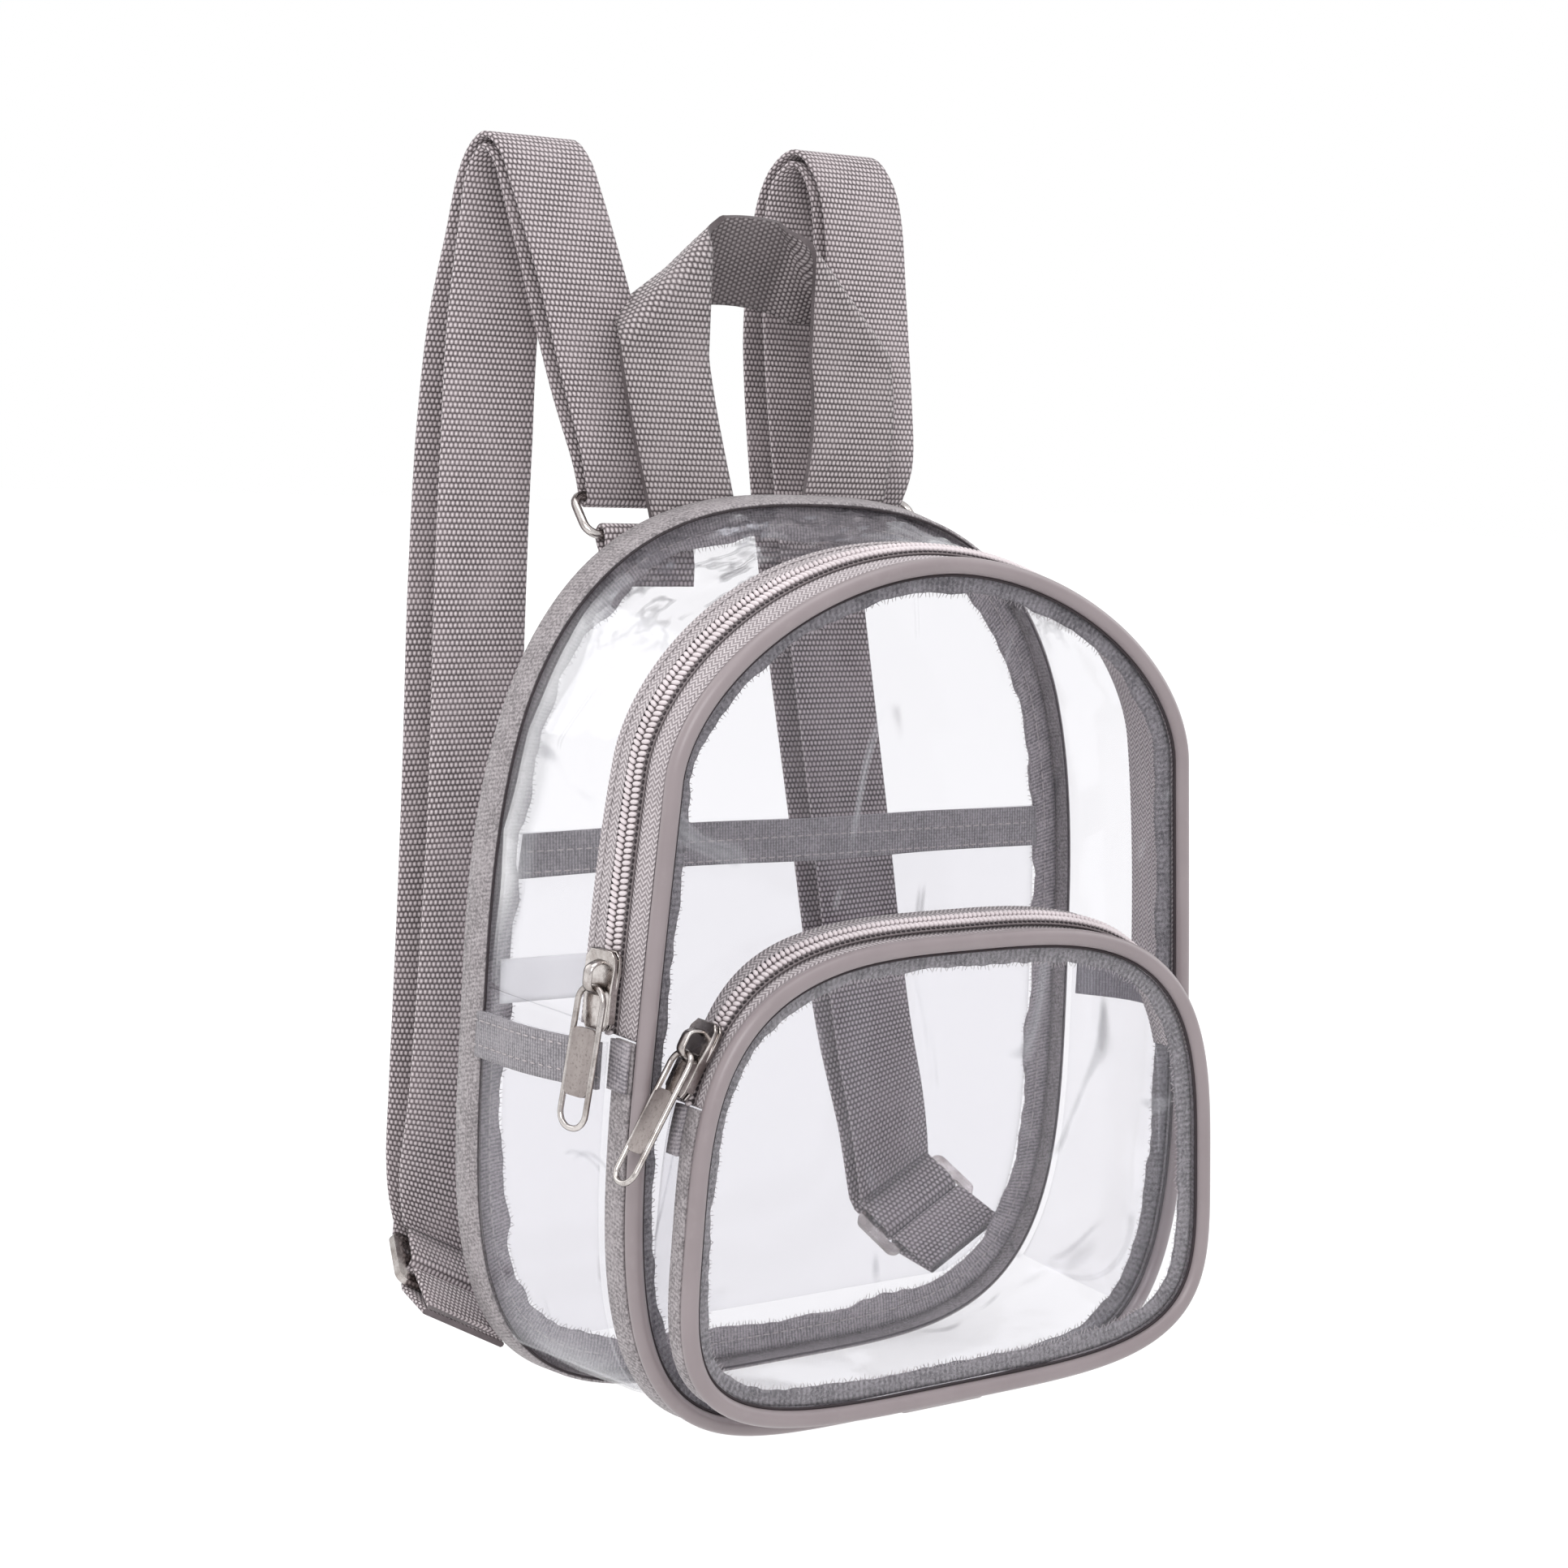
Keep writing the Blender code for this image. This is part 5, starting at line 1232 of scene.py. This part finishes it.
def sliderPieces(word, matrix, node):
    shoulder = slider["wide"] / 2
    # Narrow at the low end, wide where the open teeth come in
    outline = []
    for x, y in ((0.0, 0.62), (0.10, 0.80), (0.45, 0.86), (0.70, 1.0), (0.92, 0.96), (1.0, 0.70)):
        outline.append((x * slider["long"], y * shoulder))
    smooth = outline + [(x, -y) for x, y in reversed(outline)]
    plate = platePiece(word + "SliderTop", [smooth], slider["top"],
                       matrix @ Matrix.Translation((0, 0, slider["thick"] - slider["sunk"])), "nickel", 0.00035)
    place(plate, "bag", "metal", node)
    under = platePiece(word + "SliderBase", [smooth], slider["base"],
                       matrix @ Matrix.Translation((0, 0, slider["base"] / 2)), "nickel", 0.0003)
    place(under, "bag", "metal")
    for side in (1, -1):
        rail = platePiece(word + ("SliderRailFront" if side > 0 else "SliderRailRear"),
                          [roundedOutline(slider["long"] * 0.82, slider["rail"], 0.0005,
                                          (slider["long"] * 0.5, side * (shoulder - 0.0011)))],
                          slider["thick"] - slider["sunk"],
                          matrix @ Matrix.Translation((0, 0, slider["thick"] / 2)),
                          "nickel", 0.0002)
        place(rail, "bag", "metal")
    start, run = slider["bridgeStart"], slider["bridge"]
    top = slider["thick"] + slider["bridgeClear"] + slider["bridgeWall"] / 2
    arch = []
    for step in range(25):
        way = step / 24
        x = start + slider["bridgeWall"] / 2 + (run - slider["bridgeWall"]) * way
        rise = (1 - abs(2 * way - 1) ** 4.5)
        arch.append((x, 0, slider["thick"] - 0.0008 + (top - slider["thick"] + 0.0008) * rise))
    path = turnedPath(matrix, arch)
    side = np.array(matrix.to_3x3() @ Vector((0, 1, 0)))
    place(tubePiece(word + "SliderBridge", path, slider["bridgeWall"] / 2, "nickel", side, False, 12,
                    slider["bridgeWide"] / slider["bridgeWall"]), "bag", "metal")


def pullPieces(word, matrix, lean, width, bodyName, node):
    barAlong = slider["bridgeStart"] + slider["bridgeWall"] + pull["thick"] / 2 + pull["play"]
    seat = Matrix.Translation((barAlong, 0, slider["thick"] + slider["bridgeClear"] / 2))
    hanging = matrix.to_3x3().transposed() @ Vector((-math.sin(lean), 0, -math.cos(lean)))
    turn = math.atan2(hanging.z, -hanging.x)
    hung = matrix @ seat @ Matrix.Rotation(turn, 4, "Y")
    rim = pull["rim"] / 2
    ring = roundedOutline(pull["long"] - pull["rim"], width - pull["rim"], (width - pull["rim"]) * 0.46,
                          (rim - pull["long"] / 2, 0), 10)
    face = np.array(hung.to_3x3() @ Vector((0, 0, 1)))
    place(tubePiece(word + "PullWire", turnedPath(hung, ring), rim, "nickel", face, True, 14),
          bodyName, "metal", node)
    plateLong = pull["long"] - pull["rim"] * 3 - pull["eye"] - pull["window"] + pull["overlap"]
    plateMiddle = rim - pull["rim"] * 0.5 - pull["eye"] - plateLong / 2 - 0.0003
    outline = roundedOutline(plateLong, width - pull["rim"] * 1.1, pull["plateCorner"], (plateMiddle, 0))
    plate = platePiece(word + "PullPlate", [outline], pull["plate"], hung, "brushedNickel", 0.0003)
    place(plate, bodyName, "metal")


raised = chainTop + clearance
mainFrame = zipFrame(gussetAt, -frontOutline.shareAt(mainZip["slider"]), chainMiddle, raised, -1)
mainFrame = mainFrame @ Matrix.Translation((-slider["long"] / 2, 0, 0))
sliderPieces("main", mainFrame, "main_slider")
pullPieces("main", mainFrame, pull["mainLean"], pull["wide"], "main_pull", "main_pull")
pocketFrame = zipFrame(pocketAt, -pocketOutline.shareAt(pocketZip["slider"]), pocketZip["forward"], raised, -1)
pocketFrame = pocketFrame @ Matrix.Translation((-slider["long"] / 2, 0, 0))
sliderPieces("pocket", pocketFrame, "pocket_slider")
pullPieces("pocket", pocketFrame, pull["pocketLean"], pull["pocketWide"], "pocket_pull", "pocket_pull")
print("sliders and pulls made")

# Webbing: carry handle, straps, rings, adjusters and tabs

webbing = {"width": 0.025, "thick": 0.0014}
halfWeb = webbing["width"] / 2
handle = {"offset": -0.0085, "rise": 0.065, "legs": 0.042, "splay": 0.007, "lean": 0.006, "foldRadius": 0.003,
          "skew": 0.004}
handleArch = {"rowFrom": 40, "rowsOver": 14, "turned": 0.42, "tucked": 0.16, "rise": 0.0034, "half": 0.021}
edgeLip = 0.002


def seamHeight(x):
    shares = np.linspace(0.25, 0.5, 3000)
    flat = backOutline.at(shares)
    return float(np.interp(abs(x), flat[::-1, 0], flat[::-1, 1]))


def bendBack(point, start, along, across, radius):
    offset = point - start
    run, reach, depth = offset.dot(along), offset.dot(across), 0.0
    if reach > math.pi * radius:
        reach, depth = -(reach - math.pi * radius), 2 * radius
    elif reach > 0:
        angle = reach / radius
        reach, depth = radius * math.sin(angle), radius * (1 - math.cos(angle))
    flat = start + along * run + across * reach
    return Vector((flat.x, depth, flat.z))


handleBehind = edgeOut + clearance + webbing["thick"] / 2
handleFoot = seamHeight(abs(handle["offset"]) + handle["legs"] / 2 + halfWeb) - edgeLip
foldRise = math.pi * handle["foldRadius"] / math.sqrt(2)
foldStart = body["back"]["height"] + handle["rise"] - webbing["width"] - foldRise
foldCorner = Vector((-halfWeb, 0, foldStart))
stripEnd = foldStart + handle["legs"] / 2 + handle["splay"] + halfWeb + foldRise


def handlePoint(run, side):
    bent = bendBack(Vector((side * halfWeb, 0, run)), foldCorner, Vector((1, 0, 1)).normalized(),
                    Vector((-1, 0, 1)).normalized(), handle["foldRadius"])
    climb = min(max((bent.z - handleFoot) / (foldStart - handleFoot), 0), 1)
    x = bent.x - handle["legs"] / 2 - handle["splay"] * math.sin(climb * math.pi / 2)
    return (min(x, 0), bent.y + handleBehind + handle["lean"] * climb ** 2, bent.z)


skewStart = foldStart - handle["skew"]
edges = [(run, run) for run in np.linspace(handleFoot, skewStart, 16, endpoint=False)]
edges += [(skewStart + handle["skew"] * way, skewStart + (handle["skew"] + webbing["width"]) * way)
          for way in np.linspace(0, 1, 12, endpoint=False)]
edges += [(run, run + webbing["width"]) for run in np.linspace(foldStart, foldStart + 2 * foldRise, 26)]
bendEnd = foldStart + 2 * foldRise
edges += [(bendEnd + (stripEnd - bendEnd) * way,
           bendEnd + webbing["width"] + (stripEnd - bendEnd - webbing["width"]) * way)
          for way in np.linspace(0, 1, 11)[1:]]
columns = np.linspace(-1, 1, 13)
half = np.array([[handlePoint(left + (right - left) * (side + 1) / 2, side) for side in columns]
                 for left, right in edges])
half[-1, :, 0] = 0
halfUv = np.array([[(left + (right - left) * (side + 1) / 2, side * halfWeb) for side in columns]
                   for left, right in edges])
mirrored = half[-2::-1] * (-1, 1, 1)
mirroredUv = halfUv[-2::-1].copy()
mirroredUv[..., 0] = 2 * halfUv[-1, :, 0].mean() - mirroredUv[..., 0]
handleGrid = np.concatenate((half, mirrored))
# The top run arches a little and turns its lower edge away, so that its inner face shows
handleTop = handleGrid[..., 2].max()
below = np.clip(handleTop - handleGrid[..., 2], 0, webbing["width"] * 1.1)
turning = np.clip((np.arange(len(half)) - handleArch["rowFrom"]) / handleArch["rowsOver"], 0, 1) ** 2
turning = np.concatenate((turning, turning[-2::-1]))[:, None] * np.ones_like(below)
arch = np.clip(1 - (handleGrid[..., 0] / handleArch["half"]) ** 2, 0, 1)
lifted = below * handleArch["tucked"] + handleArch["rise"] * arch
handleGrid = handleGrid + np.stack((np.zeros_like(below), turning * below * handleArch["turned"],
                                    turning * lifted), -1)
handleGrid = handleGrid + (handle["offset"], 0, 0)
place(shellPiece("carryHandle", handleGrid, webbing["thick"], "handleWebbing",
                 coordinates=np.concatenate((halfUv, mirroredUv))), "bag", "webbing", "handle")


def webbingLoop(name, rows, wrapStart, wrapEnd, wraps=14):
    # Doubled webbing along rows of (place, width axis, opening), turned round a bar at its ends.
    frames = []
    for index, (middle, widthAxis, opening) in enumerate(rows):
        before, after = rows[max(index - 1, 0)][0], rows[min(index + 1, len(rows) - 1)][0]
        across = widthAxis.normalized()
        along = after - before
        along = (along - across * along.dot(across)).normalized()
        frames.append((middle, across, along, along.cross(across), opening))
    stations = [(middle + normal * opening / 2, across, normal) for middle, across, along, normal, opening in frames]

    def wrap(row, sign):
        middle, across, along, normal, opening = row
        for step in range(1, wraps):
            angle = math.pi * step / wraps
            out = normal * math.cos(angle) * sign + along * math.sin(angle) * sign
            stations.append((middle + out * opening / 2, across, out))

    if wrapEnd:
        wrap(frames[-1], 1)
    stations += [(middle - normal * opening / 2, across, -normal)
                 for middle, across, along, normal, opening in reversed(frames)]
    if wrapStart:
        wrap(frames[0], -1)
    half, thick = halfWeb, webbing["thick"] / 2
    profile = softCorners([(-half, -thick), (half, -thick), (half, thick), (-half, thick)], 0.0004)
    wide = []
    for index, corner in enumerate(profile):
        after = profile[(index + 1) % len(profile)]
        wide.append(corner)
        if math.dist(corner, after) > webbing["width"] * 0.5:
            wide += [(corner[0] + (after[0] - corner[0]) * way, corner[1]) for way in (0.2, 0.4, 0.6, 0.8)]
    sections = [[tuple(middle + across * x + normal * y) for x, y in wide] for middle, across, normal in stations]
    return loftPiece(name, np.array(sections), "webbing", wrapStart and wrapEnd)


def smoothRows(rows, steps):
    fine = []
    for index in range(len(rows) - 1):
        four = [rows[min(max(index + shift, 0), len(rows) - 1)] for shift in (-1, 0, 1, 2)]
        for step in range(steps):
            t = step / steps
            weights = (-0.5 * t + t * t - 0.5 * t ** 3, 1 - 2.5 * t * t + 1.5 * t ** 3,
                       0.5 * t + 2 * t * t - 1.5 * t ** 3, -0.5 * t * t + 0.5 * t ** 3)
            middle = sum((row[0] * weight for row, weight in zip(four, weights)), Vector())
            fine.append((middle, four[1][1].lerp(four[2][1], t), four[1][2] + (four[2][2] - four[1][2]) * t))
    fine.append(rows[-1])
    return fine


strap = {"offset": -0.010, "rise": {"left": 0.0822, "right": 0.0857}, "reach": 0.040, "spread": 0.013}
ring = {"offset": -0.006, "spacing": 0.070, "behind": 0.0155, "raise": 0.0020, "high": 0.012, "corner": 0.0034,
        "lean": math.radians(42), "wire": 0.0011, "play": 0.0022, "tab": 0.012}
adjuster = {"spacing": 0.146, "up": 0.026, "behind": 0.019, "high": 0.015, "plate": 0.0018, "bar": 0.0024,
            "tilt": math.radians(28), "lean": math.radians(50), "tab": 0.004, "slot": 0.0012}
# Rows over each fold: share of the back's width, of the reach, of the climb or drop, and of the spread
strapRows = {
    "left": {
        "climb": ((0.190, 0.36, 0.12, 0.36), (0.210, 0.46, 0.32, 0.44), (0.236, 0.58, 0.60, 0.48),
                  (0.262, 0.70, 0.86, 0.34), (0.272, 0.78, 0.965, 0.26), (0.280, 0.90, 1.0, 0.22)),
        "drop": ((0.289, 1.02, 0.975, 0.26), (0.302, 1.03, 0.92, 0.44), (0.325, 0.99, 0.84, 0.74),
                 (0.345, 0.90, 0.74, 0.95), (0.362, 0.80, 0.60, 1.0), (0.374, 0.71, 0.40, 1.0),
                 (0.388, 0.68, 0.18, 0.80), (0.398, 0.68, 0.08, 0.50)),
    },
    "right": {
        "climb": ((0.226, 0.34, 0.12, 0.36), (0.238, 0.46, 0.30, 0.44), (0.244, 0.59, 0.55, 0.48),
                  (0.244, 0.68, 0.84, 0.34), (0.236, 0.78, 0.965, 0.26), (0.224, 0.90, 1.0, 0.22)),
        "drop": ((0.208, 1.02, 0.975, 0.26), (0.196, 1.03, 0.92, 0.44), (0.188, 0.97, 0.83, 0.70),
                 (0.196, 0.86, 0.70, 0.80), (0.222, 0.76, 0.55, 0.80), (0.262, 0.68, 0.38, 0.76),
                 (0.318, 0.68, 0.20, 0.66), (0.368, 0.69, 0.09, 0.46)),
    },
}


def turnedFrame(middle, widthAxis, lengthAxis):
    across = widthAxis.normalized()
    along = (lengthAxis - across * lengthAxis.dot(across)).normalized()
    matrix = Matrix((across, along, across.cross(along))).transposed().to_4x4()
    matrix.translation = middle
    return matrix


roundWire = 2 * (ring["wire"] + clearance) + webbing["thick"]
roundBar = 2 * (math.hypot(adjuster["bar"], adjuster["plate"]) / 2 + clearance) + webbing["thick"]
tabClosed = webbing["thick"] + clearance
ringSide = abs(ring["offset"]) + ring["spacing"] / 2 + halfWeb
ringHeight = seamHeight(ringSide) + ring["high"] * math.cos(ring["lean"]) + ring["raise"]

for side, word in ((-1, "left"), (1, "right")):
    across = Vector((1, 0, 0))
    foldHeight = body["back"]["height"] + strap["rise"][word]
    ringX = ring["offset"] + side * ring["spacing"] / 2
    ringPlace = Vector((ringX, ring["behind"], ringHeight))
    ringFrame = turnedFrame(ringPlace, across, Vector((0, math.sin(ring["lean"]), math.cos(ring["lean"]))))
    wide = webbing["width"] + 2 * ring["play"] + 2 * ring["wire"]
    loop = roundedOutline(wide, ring["high"], ring["corner"], (0, -ring["high"] / 2), 7)
    face = np.array(ringFrame.to_3x3() @ Vector((0, 0, 1)))
    place(tubePiece(word + "Ring", turnedPath(ringFrame, loop), ring["wire"], "nickel", face, True, 14),
          "bag", "metal", "ring_" + word)

    lowerBar = ringFrame @ Vector((0, -ring["high"], 0))
    tabBehind = edgeOut + 2 * clearance + webbing["thick"] + (tabClosed + webbing["thick"]) / 2
    tabFoot = Vector((lowerBar.x, tabBehind, lowerBar.z - ring["tab"]))
    tabRows = [(tabFoot, across, tabClosed), (tabFoot + Vector((0, 0, ring["tab"] * 0.4)), across, tabClosed),
               (lowerBar, across, roundWire)]
    place(webbingLoop(word + "RingTab", tabRows, False, True), "bag", "webbing", "ring_tab_" + word)

    slideWidth = Vector((math.cos(adjuster["tilt"]), 0, side * math.sin(adjuster["tilt"])))
    slideUp = Vector((0, math.sin(adjuster["lean"]), math.cos(adjuster["lean"])))
    slidePlace = Vector((strap["offset"] + side * adjuster["spacing"] / 2, adjuster["behind"], adjuster["up"]))
    slideFrame = turnedFrame(slidePlace, slideWidth, slideUp)
    slotWide = webbing["width"] + ring["play"]
    slotHigh = (adjuster["high"] - 3 * adjuster["bar"]) / 2
    offset = (slotHigh + adjuster["bar"]) / 2
    outlines = [roundedOutline(slotWide + 2 * adjuster["bar"], adjuster["high"], adjuster["bar"])]
    outlines += [roundedOutline(slotWide, slotHigh, adjuster["slot"], (0, up), 5) for up in (offset, -offset)]
    place(platePiece(word + "Adjuster", outlines, adjuster["plate"], slideFrame, "nickel", 0.0005, 4),
          "bag", "metal", "adjuster_" + word)

    lowBar = slideFrame @ Vector((0, -(adjuster["high"] - adjuster["bar"]) / 2, 0))
    corner = lowBar + Vector((side * math.sin(adjuster["tilt"]), 0, -math.cos(adjuster["tilt"]))) * adjuster["tab"]
    corner.y = edgeOut + 3 * clearance
    lowRows = [(corner, slideWidth, tabClosed), (lowBar, slideWidth, roundBar)]
    place(webbingLoop(word + "AdjusterTab", lowRows, False, True), "bag", "webbing", "adjuster_tab_" + word)

    rows = [(ringPlace, across, roundWire)]
    for part, foot in (("climb", ringPlace.z), ("drop", slidePlace.z)):
        for away, behind, up, spread in strapRows[word][part]:
            middle = Vector((strap["offset"] + side * away * body["back"]["width"], behind * strap["reach"],
                             foot + (foldHeight - foot) * up))
            axis = across if part == "climb" else across.lerp(slideWidth, max(0, 1 - up * 4))
            rows.append((middle, axis, spread * strap["spread"]))
    rows.append((slideFrame @ Vector((0, adjuster["high"] / 2 + 2 * webbing["thick"], 0)), slideWidth, roundBar))
    rows = smoothRows(rows, 9)
    rows.append((slideFrame @ Vector((0, adjuster["high"] / 4, 0)), slideWidth, roundBar))
    rows.append((slidePlace, slideWidth, roundBar))
    place(webbingLoop(word + "Strap", rows, True, True), "bag", "webbing", "strap_" + word)
print("webbing made")

# Floor, light and camera

lightPlan = {
    "key": {"at": (-0.9, -1.0, 0.75), "size": (0.9, 0.9), "power": 9.5},
    "fill": {"at": (1.35, -0.2, 0.40), "size": (0.7, 1.1), "power": 3},
    "top": {"at": (0.0, -0.1, 1.15), "size": (1.1, 0.9), "power": 5},
    "back": {"at": (-0.5, 1.2, 0.7), "size": (1.1, 0.9), "power": 3},
}
aim = Vector((0.01, -0.05, -0.16))
for name, plan in lightPlan.items():
    data = bpy.data.lights.new(name + "Light", "AREA")
    data.shape = "RECTANGLE"
    data.size, data.size_y = plan["size"]
    data.energy = plan["power"]
    lamp = linked(name + "Light", data)
    lamp.location = plan["at"]
    lamp.rotation_euler = (aim - lamp.location).to_track_quat("-Z", "Y").to_euler()

world = bpy.data.worlds.new("studio")
bpy.context.scene.world = world
world.use_nodes = True
graph = Graph(world.node_tree)
direction = graph.add("ShaderNodeTexCoord")["Generated"]
parts = graph.parts(direction)
behind = graph.ramp(parts[1], -0.25, 0.35)
above = graph.ramp(parts[2], -0.3, 0.9)
glow = graph.blend(behind, (0.74, 0.74, 0.76), (1.0, 1.0, 1.0))
glow = graph.blend(above * 0.5, glow, (0.98, 0.98, 0.99))
seen = graph.add("ShaderNodeLightPath")["Is Camera Ray"]
shown = graph.blend(seen, glow, (1.0, 1.0, 1.0))
backdrop = graph.add("ShaderNodeBackground", None, {"Color": shown, "Strength": 1.0})
graph.add("ShaderNodeOutputWorld", None, {"Surface": backdrop[0]})

floorGraph, floorPlace, _, _ = newFinish("floorSweep")
speckle = floorGraph.noise(floorPlace, 900, 2, 0.5)
floorColour = floorGraph.blend(speckle, (0.11, 0.11, 0.112), (0.13, 0.13, 0.132))
finishWith(floorGraph, {"Base Color": floorColour, "Roughness": 0.85, "Emission Color": (1.0, 1.0, 1.0),
                        "Emission Strength": 0.96})
floorMesh = bpy.data.meshes.new("floor")
reach = 6.0
floorDrop = 0.0006
floorHeight = cadBounds[0][2] - floorDrop
floorMesh.from_pydata([(x * reach, y * reach, floorHeight) for x, y in ((-1, -1), (1, -1), (1, 1), (-1, 1))],
                      [], [(0, 1, 2, 3)])
floorMesh.materials.append(finishes["floorSweep"])
floor = linked("floor", floorMesh)

# The camera fitted to the seams of the photographed bag
view = {"lens": 68.398, "at": (-0.42793, -0.62645, -0.05969), "right": (0.80658404, -0.58952868, 0.04333717),
        "up": (0.03702875, 0.12355960, 0.99164606), "forward": (0.58995851, 0.79824117, -0.12149071)}
camera = linked("photoCamera", bpy.data.cameras.new("photoCamera"))
camera.data.sensor_width = 36
camera.data.lens = view["lens"]
camera.data.clip_start = 0.01
camera.data.clip_end = 50
camera.matrix_world = Matrix((view["right"], view["up"], -Vector(view["forward"]))).transposed().to_4x4()
camera.location = view["at"]
bpy.context.scene.camera = camera
bpy.context.scene.view_settings.view_transform = "Standard"
bpy.context.scene.cycles.transparent_max_bounces = 48
print("stage made")
